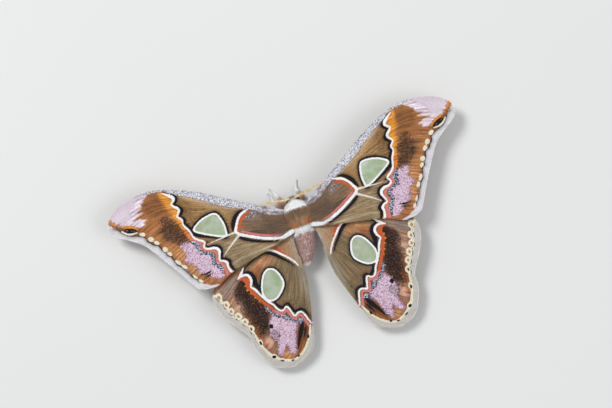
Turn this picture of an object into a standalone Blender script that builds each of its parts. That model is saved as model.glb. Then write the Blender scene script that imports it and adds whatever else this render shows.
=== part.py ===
"""A silkmoth with a clear window in each wing, at rest with its wings spread, at life size.

+Y runs towards the head, +X towards the moth's right wing and +Z up. The moth stands on
the plane z = 0 on the small flats under its six feet. Lengths are in millimetres, and MM
turns them into the scene's metres. Positions in plan are measured from the middle of the
thorax, and THORAX_Y moves them so that the origin is under the middle of the whole moth.
"""

import math

import bmesh
import bpy
import numpy as np
from mathutils import Matrix, Vector

MM = 0.001
THORAX_Y = 12.6
GAP = 0.3
WELD = 0.01

# The sheet that the wings lie in: its height at the thorax, its arch and droop along the
# span, its fall towards the tail, and how much lower the hind wings lie
SPAN = 64.0
SHEET_Z = 8.6
SHEET_ARCH = 1.2
SHEET_DROOP = 2.2
SHEET_SLOPE = 0.02
WING_STEP = 1.5
TAIL_DROP = 3.0
TAIL_START_Y = -14.0
TAIL_END_Y = -50.0

# Wing thickness at a vein, the membrane's share of it, and a vein's width
VEIN_THICK = 1.05
MEMBRANE_SHARE = 0.52
VEIN_HALF_WIDTH = 0.42
VEIN_HALF_MOST = 0.018
VEIN_FADE = 0.05
VEIN_GROUP = "veins"
WINDOW_RECESS = 0.12
CUTTER_HEIGHT = 2.0

# Right wings in plan, each side in the order root to tip, then front to back
FORE_COSTA = ((3.2, 2.4), (10, 6.4), (20, 12.5), (30, 18.7), (40, 23.2), (48, 24.9),
              (56, 23.8), (60.5, 21.8), (63.5, 19.4))
FORE_MARGIN = ((63.5, 19.4), (64.0, 17.2), (62.5, 13.9), (55, 8.6), (51.5, 4.2),
               (46, -4.6), (41.7, -12.1), (39.6, -13.7), (37.2, -14.3))
FORE_HIND = ((3.0, -4.2), (10, -7.1), (20, -9.3), (28, -11.2), (34.4, -14.1), (37.2, -14.3))
HIND_COSTA = ((3.2, -1.2), (12, -3.6), (25, -7.2), (33, -10.6), (37.4, -14.0))
HIND_MARGIN = ((37.4, -14.0), (38.5, -18.3), (36.8, -24.4), (31.7, -33.0), (31.1, -38.6),
               (28.1, -45.6), (24.4, -48.4), (20.5, -49.3))
HIND_INNER = ((3.2, -4.6), (4.7, -10.2), (5.6, -23.0), (9.1, -35.0), (11.9, -44.0),
              (15.4, -47.6), (20.5, -49.3))
LEFT_HIND_TURN = 3.0
HIND_ROOT = (4.0, -5.0)

# Veins: place across the wing, 0 in front to 1 behind, and where along it each starts
FORE_VEINS = ((0.09, 0.0), (0.22, 0.42), (0.36, 0.42), (0.50, 0.42), (0.63, 0.0),
              (0.78, 0.30), (0.92, 0.0))
HIND_VEINS = ((0.10, 0.0), (0.24, 0.36), (0.38, 0.36), (0.52, 0.36), (0.65, 0.0),
              (0.79, 0.28), (0.92, 0.0))
FORE_ROWS = 18
HIND_ROWS = 16
ROW_CROWDING = 1.25

FORE_WINDOW = ((27.3, 10.0), (32.3, 9.5), (36.2, 6.9), (33.6, 4.4), (26.5, 0.9),
               (25.2, 3.2), (25.6, 7.4))
HIND_WINDOW = ((16.8, -13.9), (19.6, -15.9), (21.8, -20.8), (20.9, -24.5), (17.2, -24.7),
               (13.3, -20.8), (14.1, -15.6))

# Body: centres in plan and height, then half widths and half heights along them
THORAX_PATH = ((0, -5.2, 7.2), (0, -4.2, 7.4), (0, -2.0, 7.6), (0, 0.5, 7.7),
               (0, 2.5, 8.0), (0, 3.8, 8.4), (0, 4.6, 8.5))
THORAX_HALF_WIDTHS = (2.9, 4.0, 4.8, 4.9, 4.4, 3.5, 2.2)
THORAX_HALF_HEIGHTS = (3.0, 3.8, 4.3, 4.5, 3.9, 2.7, 1.7)
ABDOMEN_PATH = ((0, -3.6, 6.7), (-0.1, -6.6, 6.5), (-0.7, -10.5, 5.9), (-1.8, -14.2, 5.1),
                (-2.8, -16.8, 4.4), (-3.3, -18.0, 4.1))
ABDOMEN_HALF_WIDTHS = (3.3, 3.75, 3.55, 2.9, 2.2, 1.4)
ABDOMEN_HALF_HEIGHTS = (3.0, 3.5, 3.3, 2.7, 2.0, 1.3)
ABDOMEN_RINGS = 15
SEGMENT_SWELL = 0.025
TIP_BULGE = 0.4

HEAD_CENTRE = (0, 4.7, 5.3)
HEAD_HALF_SIZES = (1.8, 1.85, 1.8)
EYE_CENTRE = (1.6, 5.1, 5.0)
EYE_RADIUS = 0.9

ANTENNA_PATH = ((0.7, 5.5, 6.0), (1.5, 5.9, 7.4), (4.0, 6.2, 8.3), (7.0, 6.8, 9.4),
                (10.0, 7.1, 10.5), (12.2, 7.3, 11.2))
ANTENNA_RADII = (0.36, 0.34, 0.32, 0.30, 0.27, 0.25)

# Comb of a feeler: pairs of teeth, their length in the middle of the feeler, radii at root
# and tip, lean towards the feeler's tip and how far the comb is turned up from level
COMB_PAIRS = 12
COMB_SPAN = (0.16, 0.97)
TOOTH_SIDES = 5
TOOTH_LENGTH = 1.15
TOOTH_SHORTEST = 0.45
TOOTH_RADII = (0.25, 0.17)
TOOTH_LEAN = 32.0
COMB_TURN = 62.0

# Legs: hip to the tip of the foot, and the radius at each of those points
LEG_RADII = (0.75, 0.85, 0.6, 0.45, 0.35, 0.31, 0.27)
LEGS = {
    "leg_front_left": ((-1.8, 2.2, 4.6), (-3.6, 4.8, 3.9), (-4.4, 7.0, 3.0), (-4.9, 8.4, 1.8),
                       (-5.4, 9.5, 0.7), (-5.9, 10.4, 0.18), (-6.4, 11.4, 0.18)),
    "leg_front_right": ((1.8, 2.2, 4.6), (3.3, 4.8, 3.9), (3.0, 6.6, 3.0), (2.5, 8.0, 1.8),
                        (2.6, 9.2, 0.7), (3.0, 10.2, 0.18), (3.6, 11.2, 0.18)),
    "leg_mid_left": ((-2.5, 0.4, 4.8), (-4.6, 2.9, 4.7), (-5.8, 5.2, 3.4), (-6.4, 6.8, 1.9),
                     (-6.8, 8.0, 0.7), (-7.1, 9.0, 0.18), (-7.5, 10.0, 0.18)),
    "leg_mid_right": ((2.5, 0.2, 4.8), (5.2, 0.6, 4.9), (7.6, 1.6, 3.5), (8.9, 2.6, 1.9),
                      (9.8, 3.5, 0.7), (10.5, 4.3, 0.18), (11.2, 5.2, 0.18)),
    "leg_hind_left": ((-2.4, -2.6, 4.6), (-5.6, -5.0, 4.7), (-8.0, -8.6, 3.5), (-8.9, -11.2, 2.0),
                      (-9.3, -13.0, 0.7), (-9.6, -14.4, 0.18), (-10.0, -15.8, 0.18)),
    "leg_hind_right": ((2.4, -2.6, 4.6), (5.6, -5.0, 4.7), (8.0, -8.6, 3.5), (8.9, -11.2, 2.0),
                       (9.3, -13.0, 0.7), (9.6, -14.4, 0.18), (10.0, -15.8, 0.18)),
}
LEG_STEPS = 12

WING_BROWN = (0.42, 0.28, 0.19)
THORAX_BROWN = (0.36, 0.27, 0.21)
ABDOMEN_MAUVE = (0.46, 0.31, 0.27)
HEAD_GREY = (0.45, 0.40, 0.35)
EYE_BLACK = (0.02, 0.015, 0.012)
STRAW = (0.58, 0.45, 0.22)
LEG_BROWN = (0.50, 0.38, 0.32)


def clear_scene():
    for item in list(bpy.data.objects):
        bpy.data.objects.remove(item, do_unlink=True)


def collection_named(name):
    made = bpy.data.collections.new(name)
    bpy.context.scene.collection.children.link(made)
    return made


def surface(name, colour, roughness):
    material = bpy.data.materials.new(name)
    material.use_nodes = True
    shader = material.node_tree.nodes["Principled BSDF"]
    shader.inputs["Base Color"].default_value = (*colour, 1.0)
    shader.inputs["Roughness"].default_value = roughness
    shader.inputs["Metallic"].default_value = 0.0
    return material


def smooth_line(points, per_span=12, closed=False):
    """A Catmull-Rom curve through the points, as a dense array of points."""
    known = [np.array(p, float) for p in points]
    if closed:
        known = [known[-1], *known, known[0], known[1]]
    else:
        known = [2 * known[0] - known[1], *known, 2 * known[-1] - known[-2]]
    line = []
    for a, b, c, d in zip(known, known[1:], known[2:], known[3:]):
        for t in np.arange(per_span) / per_span:
            line.append(0.5 * (2 * b + (c - a) * t + (2 * a - 5 * b + 4 * c - d) * t ** 2
                               + (3 * b - a - 3 * c + d) * t ** 3))
    if not closed:
        line.append(known[-2])
    return np.array(line)


def at_shares(line, shares):
    """Points at the given shares of the line's length."""
    steps = np.linalg.norm(np.diff(line, axis=0), axis=1)
    lengths = np.concatenate([[0.0], np.cumsum(steps)])
    wanted = np.asarray(shares) * lengths[-1]
    return np.stack([np.interp(wanted, lengths, line[:, i]) for i in range(line.shape[1])], axis=1)


def sheet_height(x, y):
    """Height of the sheet that both wings of a side follow."""
    share = abs(x) / SPAN
    return (SHEET_Z + SHEET_ARCH * math.sin(math.pi * share) - SHEET_DROOP * share ** 2
            + SHEET_SLOPE * y)


def hind_height(x, y):
    tail = min(max((TAIL_START_Y - y) / (TAIL_START_Y - TAIL_END_Y), 0.0), 1.0)
    return sheet_height(x, y) - WING_STEP - TAIL_DROP * tail ** 2


def turned(point, centre, degrees):
    """A plan point turned towards the body about a wing's root."""
    angle = math.radians(-degrees)
    x, y = point[0] - centre[0], point[1] - centre[1]
    return (centre[0] + x * math.cos(angle) - y * math.sin(angle),
            centre[1] + x * math.sin(angle) + y * math.cos(angle))


def object_from(name, mesh, collection, parent):
    made = bpy.data.objects.new(name, mesh)
    collection.objects.link(made)
    made.parent = parent
    return made


def wing_columns(veins):
    """Columns across a wing: its edges, three to a vein and one between neighbours."""
    columns = [(0.0, 0, None)]
    last = 0.0
    for place, start in veins:
        columns.append(((last + place) / 2, 0, None))
        columns += [(place, side, start if side == 0 else None) for side in (-1, 0, 1)]
        last = place
    columns += [((last + 1.0) / 2, 0, None), (1.0, 0, None)]
    return columns


def wing_shape(sides, veins, rows):
    """A wing in plan between its front, outer and rear sides, its veins weighted 1."""
    front, outer, rear = (smooth_line(side) for side in sides)
    along = 1.0 - (1.0 - np.linspace(0.0, 1.0, rows + 1)) ** ROW_CROWDING
    front_row, rear_row = at_shares(front, along), at_shares(rear, along)
    root = np.array([front_row[0], rear_row[0]])
    columns = wing_columns(veins)
    shape = bmesh.new()
    weights = shape.verts.layers.deform.new()
    grid = []
    for u, a, b in zip(along, front_row, rear_row):
        half = min(VEIN_HALF_WIDTH / np.linalg.norm(b - a), VEIN_HALF_MOST)
        row = []
        for place, side, start in columns:
            v = place + side * half
            end = at_shares(outer, [v])[0]
            base = root[0] * (1 - v) + root[1] * v
            corners = ((1 - u) * ((1 - v) * root[0] + v * root[1])
                       + u * ((1 - v) * outer[0] + v * outer[-1]))
            x, y = (1 - v) * a + v * b + (1 - u) * base + u * end - corners
            vert = shape.verts.new(Vector((x, y, 0.0)))
            if start is not None:
                vert[weights][0] = float(np.clip((u - start) / VEIN_FADE, 0.0, 1.0))
            row.append(vert)
        grid.append(row)
    for near, far in zip(grid, grid[1:]):
        for i in range(len(columns) - 1):
            shape.faces.new((near[i], near[i + 1], far[i + 1], far[i]))
    return shape


def wing_object(name, shape, height, side, turn, collection, parent, material):
    """Lift a wing's plan to its height on its side of the body and give it thickness."""
    for vert in shape.verts:
        x, y = turned(vert.co[:2], HIND_ROOT, turn)
        vert.co = Vector((side * x, y, height(x, y))) * MM
    bmesh.ops.recalc_face_normals(shape, faces=shape.faces)
    if sum(face.normal.z for face in shape.faces) < 0:
        bmesh.ops.reverse_faces(shape, faces=shape.faces)
    bmesh.ops.triangulate(shape, faces=shape.faces)
    mesh = bpy.data.meshes.new(name)
    shape.to_mesh(mesh)
    shape.free()
    mesh.materials.append(material)
    wing = object_from(name, mesh, collection, parent)
    wing.vertex_groups.new(name=VEIN_GROUP)
    shell = wing.modifiers.new("membrane", "SOLIDIFY")
    shell.thickness = VEIN_THICK * MM
    shell.offset = 0.0
    shell.vertex_group = VEIN_GROUP
    shell.thickness_vertex_group = MEMBRANE_SHARE
    return wing


def loft_mesh(name, path, half_widths, half_heights, rings, sides=16, grow=0.0, swell=0.0):
    """A closed body of oval rings along a smooth path, with a rounded point at each end."""
    line = smooth_line(path)
    shares = np.linspace(0.0, 1.0, rings)
    centres = at_shares(line, shares)
    steps = np.linalg.norm(np.diff(np.array(path, float), axis=0), axis=1)
    known = np.concatenate([[0.0], np.cumsum(steps)]) / steps.sum()
    widths = np.interp(shares, known, half_widths) + grow
    heights = np.interp(shares, known, half_heights) + grow
    shape = bmesh.new()
    circles = []
    for i, centre in enumerate(centres):
        ahead = centres[min(i + 1, rings - 1)] - centres[max(i - 1, 0)]
        tangent = Vector(ahead).normalized()
        across = tangent.cross(Vector((0, 0, 1))).normalized()
        upward = across.cross(tangent)
        scale = 1.0 + swell * (-1) ** i
        circle = []
        for k in range(sides):
            angle = 2 * math.pi * k / sides
            point = (Vector(centre) + across * (widths[i] * scale * math.cos(angle))
                     + upward * (heights[i] * scale * math.sin(angle)))
            circle.append(shape.verts.new(point * MM))
        circles.append((circle, tangent, Vector(centre)))
    for (near, _, _), (far, _, _) in zip(circles, circles[1:]):
        for k in range(sides):
            following = (k + 1) % sides
            shape.faces.new((near[k], near[following], far[following], far[k]))
    for (circle, tangent, centre), way in ((circles[0], -1), (circles[-1], 1)):
        tip = shape.verts.new((centre + tangent * way * (TIP_BULGE + grow)) * MM)
        for k in range(sides):
            shape.faces.new((circle[k], circle[(k + 1) % sides], tip))
    bmesh.ops.recalc_face_normals(shape, faces=shape.faces)
    mesh = bpy.data.meshes.new(name)
    shape.to_mesh(mesh)
    shape.free()
    return mesh


def ball_mesh(name, centre, half_sizes, grow=0.0, segments=16, rings=10):
    shape = bmesh.new()
    bmesh.ops.create_uvsphere(shape, u_segments=segments, v_segments=rings, radius=1.0)
    sizes = [(size + grow) * MM for size in half_sizes]
    place = Matrix.Translation(Vector(centre) * MM) @ Matrix.Diagonal((*sizes, 1.0))
    bmesh.ops.transform(shape, matrix=place, verts=shape.verts)
    mesh = bpy.data.meshes.new(name)
    shape.to_mesh(mesh)
    shape.free()
    return mesh


def tube_mesh(name, path, radii, steps):
    """A tapering tube through the path with closed ends, nothing of it below the floor."""
    line = smooth_line(path)
    shares = np.linspace(0.0, 1.0, steps)
    sizes = np.interp(shares, np.linspace(0.0, 1.0, len(radii)), radii)
    curve = bpy.data.curves.new(name, "CURVE")
    curve.dimensions = "3D"
    curve.bevel_depth = MM
    curve.bevel_resolution = 2
    curve.use_fill_caps = True
    spline = curve.splines.new("POLY")
    spline.points.add(steps - 1)
    for point, centre, radius in zip(spline.points, at_shares(line, shares), sizes):
        point.co = (*(Vector(centre) * MM), 1.0)
        point.radius = radius
    guide = bpy.data.objects.new(name, curve)
    bpy.context.scene.collection.objects.link(guide)
    graph = bpy.context.evaluated_depsgraph_get()
    mesh = bpy.data.meshes.new_from_object(guide.evaluated_get(graph))
    bpy.data.objects.remove(guide, do_unlink=True)
    shape = bmesh.new()
    shape.from_mesh(mesh)
    bmesh.ops.remove_doubles(shape, verts=shape.verts, dist=WELD * MM)
    for vert in shape.verts:
        vert.co.z = max(vert.co.z, 0.0)
    bmesh.ops.recalc_face_normals(shape, faces=shape.faces)
    shape.to_mesh(mesh)
    shape.free()
    return mesh


def largest_surface(mesh):
    """The mesh without any scrap that a union left loose."""
    shape = bmesh.new()
    shape.from_mesh(mesh)
    left = set(shape.verts)
    surfaces = []
    while left:
        found = {left.pop()}
        edge = list(found)
        while edge:
            near = {e.other_vert(v) for v in edge for e in v.link_edges} - found
            found |= near
            edge = list(near)
        left -= found
        surfaces.append(found)
    keep = max(surfaces, key=len)
    bmesh.ops.delete(shape, geom=[v for v in shape.verts if v not in keep], context="VERTS")
    shape.to_mesh(mesh)
    shape.free()
    return mesh


def tooth_mesh(name, root, direction, length):
    """A tapered tooth from its root, sunk in the shaft, along its direction."""
    shape = bmesh.new()
    bmesh.ops.create_cone(shape, cap_ends=True, segments=TOOTH_SIDES, depth=length * MM,
                          radius1=TOOTH_RADII[0] * MM, radius2=TOOTH_RADII[1] * MM)
    turn = direction.to_track_quat("Z", "X").to_matrix().to_4x4()
    middle = (root + direction * length / 2) * MM
    bmesh.ops.transform(shape, matrix=Matrix.Translation(middle) @ turn, verts=shape.verts)
    mesh = bpy.data.meshes.new(name)
    shape.to_mesh(mesh)
    shape.free()
    return mesh


def comb_mesh(name, path):
    """A feeler's shaft with two rows of teeth fused to it."""
    shaft = bpy.data.objects.new(name, tube_mesh(name, path, ANTENNA_RADII, LEG_STEPS))
    bpy.context.scene.collection.objects.link(shaft)
    teeth = collection_named(name + "_teeth")
    line = smooth_line(path)
    shares = np.linspace(*COMB_SPAN, COMB_PAIRS)
    roots, ahead = at_shares(line, shares), at_shares(line, np.minimum(shares + 0.02, 1.0))
    turn, lean = math.radians(COMB_TURN), math.radians(TOOTH_LEAN)
    for i, share in enumerate(shares):
        tangent = Vector(ahead[i] - roots[i]).normalized()
        across = tangent.cross(Vector((0, 0, 1))).normalized()
        across *= math.copysign(1.0, -across.y)
        upward = Vector((0, 0, 1)) - tangent * tangent.z
        swell = math.sin(math.pi * share) ** 0.5
        length = TOOTH_SHORTEST + (TOOTH_LENGTH - TOOTH_SHORTEST) * swell
        for way in (-1, 1):
            out = (across * math.cos(turn) + upward.normalized() * math.sin(turn)) * way
            direction = (out * math.cos(lean) + tangent * math.sin(lean)).normalized()
            mesh = tooth_mesh("tooth", Vector(roots[i]), direction, length)
            object_from("tooth", mesh, teeth, None)
    fuse = shaft.modifiers.new("fuse", "BOOLEAN")
    fuse.operation = "UNION"
    fuse.operand_type = "COLLECTION"
    fuse.collection = teeth
    graph = bpy.context.evaluated_depsgraph_get()
    mesh = bpy.data.meshes.new_from_object(shaft.evaluated_get(graph))
    for tooth in list(teeth.objects):
        bpy.data.objects.remove(tooth, do_unlink=True)
    bpy.data.collections.remove(teeth)
    bpy.data.objects.remove(shaft, do_unlink=True)
    return largest_surface(mesh)


def window_mesh(name, outline, height, side, turn):
    """A cutter over a window, its underside just inside the membrane's upper face."""
    floor = (MEMBRANE_SHARE * VEIN_THICK) / 2 - WINDOW_RECESS
    points = [turned(p, HIND_ROOT, turn) for p in smooth_line(outline, 3, closed=True)]
    middle = np.mean(points, axis=0)
    shape = bmesh.new()
    hubs, rims = [], []
    for lift in (floor, floor + CUTTER_HEIGHT):
        hubs.append(shape.verts.new(
            Vector((side * middle[0], middle[1], height(*middle) + lift)) * MM))
        rims.append([shape.verts.new(Vector((side * x, y, height(x, y) + lift)) * MM)
                     for x, y in points])
    for k in range(len(points)):
        following = (k + 1) % len(points)
        shape.faces.new((rims[0][k], rims[0][following], rims[1][following], rims[1][k]))
        shape.faces.new((rims[0][following], rims[0][k], hubs[0]))
        shape.faces.new((rims[1][k], rims[1][following], hubs[1]))
    bmesh.ops.recalc_face_normals(shape, faces=shape.faces)
    mesh = bpy.data.meshes.new(name)
    shape.to_mesh(mesh)
    shape.free()
    return mesh


def cutter(name, mesh, collection, parent):
    made = object_from(name, mesh, collection, parent)
    made.hide_render = True
    made.display_type = "WIRE"
    return made


def cut_clear(piece, cutters):
    for tool in cutters:
        cut = piece.modifiers.new("clear_of_" + tool.name, "BOOLEAN")
        cut.operation = "DIFFERENCE"
        cut.object = tool


def mirrored(point, side):
    return (side * point[0], *point[1:])


def build_body(pieces, cutters, moth):
    """Thorax, abdomen, head and eyes, and the cutters that keep others clear of them."""

    def thorax_mesh(grow):
        return loft_mesh("thorax", THORAX_PATH, THORAX_HALF_WIDTHS, THORAX_HALF_HEIGHTS,
                         rings=11, grow=grow)

    def abdomen_mesh(grow):
        return loft_mesh("abdomen", ABDOMEN_PATH, ABDOMEN_HALF_WIDTHS, ABDOMEN_HALF_HEIGHTS,
                         rings=ABDOMEN_RINGS, grow=grow, swell=SEGMENT_SWELL)

    thorax = object_from("thorax", thorax_mesh(0.0), pieces, moth)
    thorax.data.materials.append(surface("thorax", THORAX_BROWN, 0.9))
    abdomen = object_from("abdomen", abdomen_mesh(0.0), pieces, moth)
    abdomen.data.materials.append(surface("abdomen", ABDOMEN_MAUVE, 0.9))
    head = object_from("head", ball_mesh("head", HEAD_CENTRE, HEAD_HALF_SIZES), pieces, moth)
    head.data.materials.append(surface("head", HEAD_GREY, 0.9))
    near = {
        "thorax": cutter("room_thorax", thorax_mesh(GAP), cutters, moth),
        "abdomen": cutter("room_abdomen", abdomen_mesh(GAP), cutters, moth),
        "head": cutter("room_head", ball_mesh("room_head", HEAD_CENTRE, HEAD_HALF_SIZES, GAP),
                       cutters, moth),
    }
    cut_clear(abdomen, [near["thorax"]])
    cut_clear(head, [near["thorax"]])
    sizes = (EYE_RADIUS,) * 3
    eye_black = surface("eye", EYE_BLACK, 0.25)
    for side, end in ((-1, "left"), (1, "right")):
        centre = mirrored(EYE_CENTRE, side)
        eye = object_from("eye_" + end, ball_mesh("eye", centre, sizes, 0.0, 14, 8),
                          pieces, moth)
        eye.data.materials.append(eye_black)
        room = cutter("room_eye_" + end, ball_mesh("room_eye", centre, sizes, GAP, 14, 8),
                      cutters, moth)
        cut_clear(head, [room])
        cut_clear(eye, [near["thorax"]])
    return near


def build_wings(pieces, cutters, moth, near):
    """Four wings, each clear of the body, its window a shallow recess."""
    kinds = (
        ("forewing", (FORE_COSTA, FORE_MARGIN, FORE_HIND), FORE_VEINS, FORE_ROWS,
         sheet_height, FORE_WINDOW, 0.0),
        ("hindwing", (HIND_COSTA, HIND_MARGIN, HIND_INNER), HIND_VEINS, HIND_ROWS,
         hind_height, HIND_WINDOW, LEFT_HIND_TURN),
    )
    brown = surface("wing", WING_BROWN, 0.85)
    for kind, sides, veins, rows, height, window, left_turn in kinds:
        for side, end in ((-1, "left"), (1, "right")):
            name = f"{kind}_{end}"
            turn = left_turn if side < 0 else 0.0
            wing = wing_object(name, wing_shape(sides, veins, rows), height, side, turn,
                               pieces, moth, brown)
            recess = cutter("recess_" + name, window_mesh(name, window, height, side, turn),
                            cutters, moth)
            cut_clear(wing, [near["thorax"], near["abdomen"], recess])


def build_limbs(pieces, moth, near):
    """Six legs and two feelers, each cut face to face with what it grows from."""
    leg_brown = surface("leg", LEG_BROWN, 0.85)
    for name, path in LEGS.items():
        leg = object_from(name, tube_mesh(name, path, LEG_RADII, LEG_STEPS), pieces, moth)
        leg.data.materials.append(leg_brown)
        cut_clear(leg, [near["thorax"], near["head"]])
    straw = surface("antenna", STRAW, 0.7)
    for side, end in ((-1, "left"), (1, "right")):
        path = [mirrored(point, side) for point in ANTENNA_PATH]
        feeler = object_from("antenna_" + end, comb_mesh("antenna", path), pieces, moth)
        feeler.data.materials.append(straw)
        cut_clear(feeler, [near["head"], near["thorax"]])


def main():
    clear_scene()
    pieces = collection_named("silkmoth")
    cutters = collection_named("silkmoth_cutters")
    moth = bpy.data.objects.new("moth", None)
    moth.location.y = THORAX_Y * MM
    pieces.objects.link(moth)
    near = build_body(pieces, cutters, moth)
    build_wings(pieces, cutters, moth, near)
    build_limbs(pieces, moth, near)


main()
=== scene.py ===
"""The looks of a window-winged silkmoth at rest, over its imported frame.

Plan positions and lengths are in millimetres, measured from the middle of the thorax with
+Y towards the head and +X towards the moth's right. THORAX_Y and MM turn them into the
frame's metres. A wing's marks are strokes, blots and areas in that plan. They become
fields on the wing's fine mesh, positive inside a mark, and the wing's material paints each
field with its own ink.
"""

from __future__ import annotations

import logging
import math
from collections.abc import Sequence
from dataclasses import dataclass, field
from enum import Enum

import bmesh
import bpy
import numpy as np
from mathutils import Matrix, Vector

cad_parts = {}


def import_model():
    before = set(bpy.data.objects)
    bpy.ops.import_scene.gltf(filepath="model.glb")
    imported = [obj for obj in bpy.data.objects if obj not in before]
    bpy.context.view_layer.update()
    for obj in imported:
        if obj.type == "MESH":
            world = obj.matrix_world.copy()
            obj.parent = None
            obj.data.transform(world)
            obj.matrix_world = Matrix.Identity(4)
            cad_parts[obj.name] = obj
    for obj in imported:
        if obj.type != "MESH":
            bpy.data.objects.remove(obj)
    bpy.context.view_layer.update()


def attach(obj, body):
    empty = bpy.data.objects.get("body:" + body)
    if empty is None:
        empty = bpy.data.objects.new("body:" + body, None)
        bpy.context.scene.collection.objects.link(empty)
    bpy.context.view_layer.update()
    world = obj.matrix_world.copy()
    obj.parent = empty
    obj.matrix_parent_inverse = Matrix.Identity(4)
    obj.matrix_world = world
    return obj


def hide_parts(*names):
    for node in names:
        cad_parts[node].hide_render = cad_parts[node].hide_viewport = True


LOG = logging.getLogger("silkmoth")

# a millimetre in metres, and the thorax's middle in the frame
MM = 0.001
THORAX_Y = 12.6

# the sheet that the wings lie in: its height at the body, its arch and its droop at the tips
WING_LIFT = 8.6
WING_ARCH = 1.2
WING_DROOP = 2.2
HALF_SPAN = 64.0

# how far behind the thorax the tails begin to dip, and how far on the dip is full
TAIL_START = 14.0
TAIL_REACH = 36.0

# the veins' height at the root, what they lose to the tip, their width, and the sag between them
VEIN_HEIGHT = 0.2
VEIN_TAPER = 0.13
VEIN_WIDTH = 0.26
FRONT_VEIN_EXTRA = 0.1
SAG_DEPTH = 0.22

Colour = tuple[float, float, float]
Span = tuple[float, float]
Points = np.ndarray
Rows = np.ndarray | Sequence[Sequence[float]]

UP = np.array([0.0, 0.0, 1.0])


def tone(red: int, green: int, blue: int) -> Colour:
    """A screen colour, 0 to 255 a channel, as the linear colour that shaders use.

    Args:
        red: The red channel.
        green: The green channel.
        blue: The blue channel.

    Returns:
        The linear colour.
    """
    shares = (channel / 255 for channel in (red, green, blue))
    return tuple(s / 12.92 if s <= 0.04045 else ((s + 0.055) / 1.055) ** 2.4 for s in shares)


def spot(x: float, y: float, z: float) -> Vector:
    """A point of the moth's own plan and height in the frame's metres."""
    return Vector((x, y + THORAX_Y, z)) * MM


def unit(vectors: Points) -> Points:
    """Vectors scaled to length 1, one row each; a vector of no length stays as it is."""
    return vectors / np.maximum(np.linalg.norm(vectors, axis=-1, keepdims=True), 1e-9)


def blend(first: Rows, second: Rows, share: Points) -> Points:
    """Rows mixed by each row's share of the second colour."""
    return np.array(first) * (1 - share[:, None]) + np.array(second) * share[:, None]


def smooth_line(points: Rows, per_span: int = 8, closed: bool = False) -> Points:
    """A Catmull-Rom curve through points of any width.

    Args:
        points: The known points, in order.
        per_span: Points made for each span.
        closed: True for a loop.

    Returns:
        The dense curve, one row a point.
    """
    known = [np.array(p, float) for p in points]
    if closed:
        known = [known[-1], *known, known[0], known[1]]
    else:
        known = [2 * known[0] - known[1], *known, 2 * known[-1] - known[-2]]
    line = []
    for a, b, c, d in zip(known, known[1:], known[2:], known[3:]):
        for t in np.arange(per_span) / per_span:
            line.append(0.5 * (2 * b + (c - a) * t + (2 * a - 5 * b + 4 * c - d) * t ** 2
                               + (3 * b - a - 3 * c + d) * t ** 3))
    line.append(known[1] if closed else known[-2])
    return np.array(line)


def lengths_along(line: Points) -> Points:
    """Share of a curve's length at each of its points, from 0 to 1."""
    steps = np.linalg.norm(np.diff(line, axis=0), axis=1)
    sums = np.concatenate([[0.0], np.cumsum(steps)])
    return sums / sums[-1]


def at_shares(line: Points, shares: Points) -> Points:
    """Points at given shares of a curve's length, from 0 to 1, one row each."""
    known = lengths_along(line)
    return np.stack([np.interp(shares, known, column) for column in line.T], axis=-1)


def tapered(count: int, path: Rows, *girths: Sequence[float]) -> Points:
    """Even steps along a smooth limb.

    Args:
        count: How many steps.
        path: The limb's known centres.
        girths: Its half sizes at those centres.

    Returns:
        One row for each step: its centre, then its half sizes.
    """
    known = np.column_stack([np.array(path, float), *girths])
    return at_shares(smooth_line(known), np.linspace(0.0, 1.0, count))


def clouds(places: Points, grain: tuple[float, float], seed: int) -> Points:
    """Smooth noise from -1 to 1 over a plane.

    Args:
        places: Places on the plane, one row each.
        grain: Size of a lump along each axis.
        seed: The draw's seed.

    Returns:
        One value for each place.
    """
    table = np.random.default_rng(seed).uniform(-1.0, 1.0, (256, 256))
    cells = places[:, :2] / np.array(grain) + 1000.0
    low = np.floor(cells).astype(int)
    x, y = (cells - low).T
    x, y = x * x * (3 - 2 * x), y * y * (3 - 2 * y)
    i, j = (low % 256).T
    k, m = (i + 1) % 256, (j + 1) % 256
    return ((table[i, j] * (1 - x) + table[k, j] * x) * (1 - y)
            + (table[i, m] * (1 - x) + table[k, m] * x) * y)


def smoothstep(low: float, high: float, values: Points) -> Points:
    """0 below low, 1 above high and a smooth rise between."""
    t = np.clip((values - low) / (high - low), 0.0, 1.0)
    return t * t * (3 - 2 * t)


def nearest(points: Points, line: Points) -> tuple[Points, Points]:
    """Distance from each point to a curve, and the curve's values at the nearest place.

    Args:
        points: Plan points, one row each.
        line: The curve; columns after the first two are values that ride along it.

    Returns:
        Distances, and the curve's further columns at each nearest place.
    """
    best = np.full(len(points), 1e9)
    ride = np.zeros((len(points), line.shape[1] - 2))
    for a, b in zip(line, line[1:]):
        span = b[:2] - a[:2]
        t = np.clip(((points - a[:2]) @ span) / max(span @ span, 1e-12), 0.0, 1.0)
        away = np.linalg.norm(points - a[:2] - t[:, None] * span, axis=1)
        closer = away < best
        best[closer] = away[closer]
        ride[closer] = a[2:] + t[closer, None] * (b[2:] - a[2:])
    return best, ride


def inside_distance(points: Points, loop: Points) -> Points:
    """Signed distance to a closed outline, positive inside it.

    Args:
        points: Plan points, one row each.
        loop: The outline's points; the last one repeats the first.

    Returns:
        One signed distance for each point.
    """
    away, _ = nearest(points, loop)
    x, y = points[:, 0], points[:, 1]
    within = np.zeros(len(points), bool)
    for (ax, ay), (bx, by) in zip(loop[:, :2], loop[1:, :2]):
        crosses = (ay > y) != (by > y)
        where = (bx - ax) * (y - ay) / (by - ay if by != ay else 1e-12) + ax
        within ^= crosses & (x < where)
    return np.where(within, away, -away)


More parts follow.
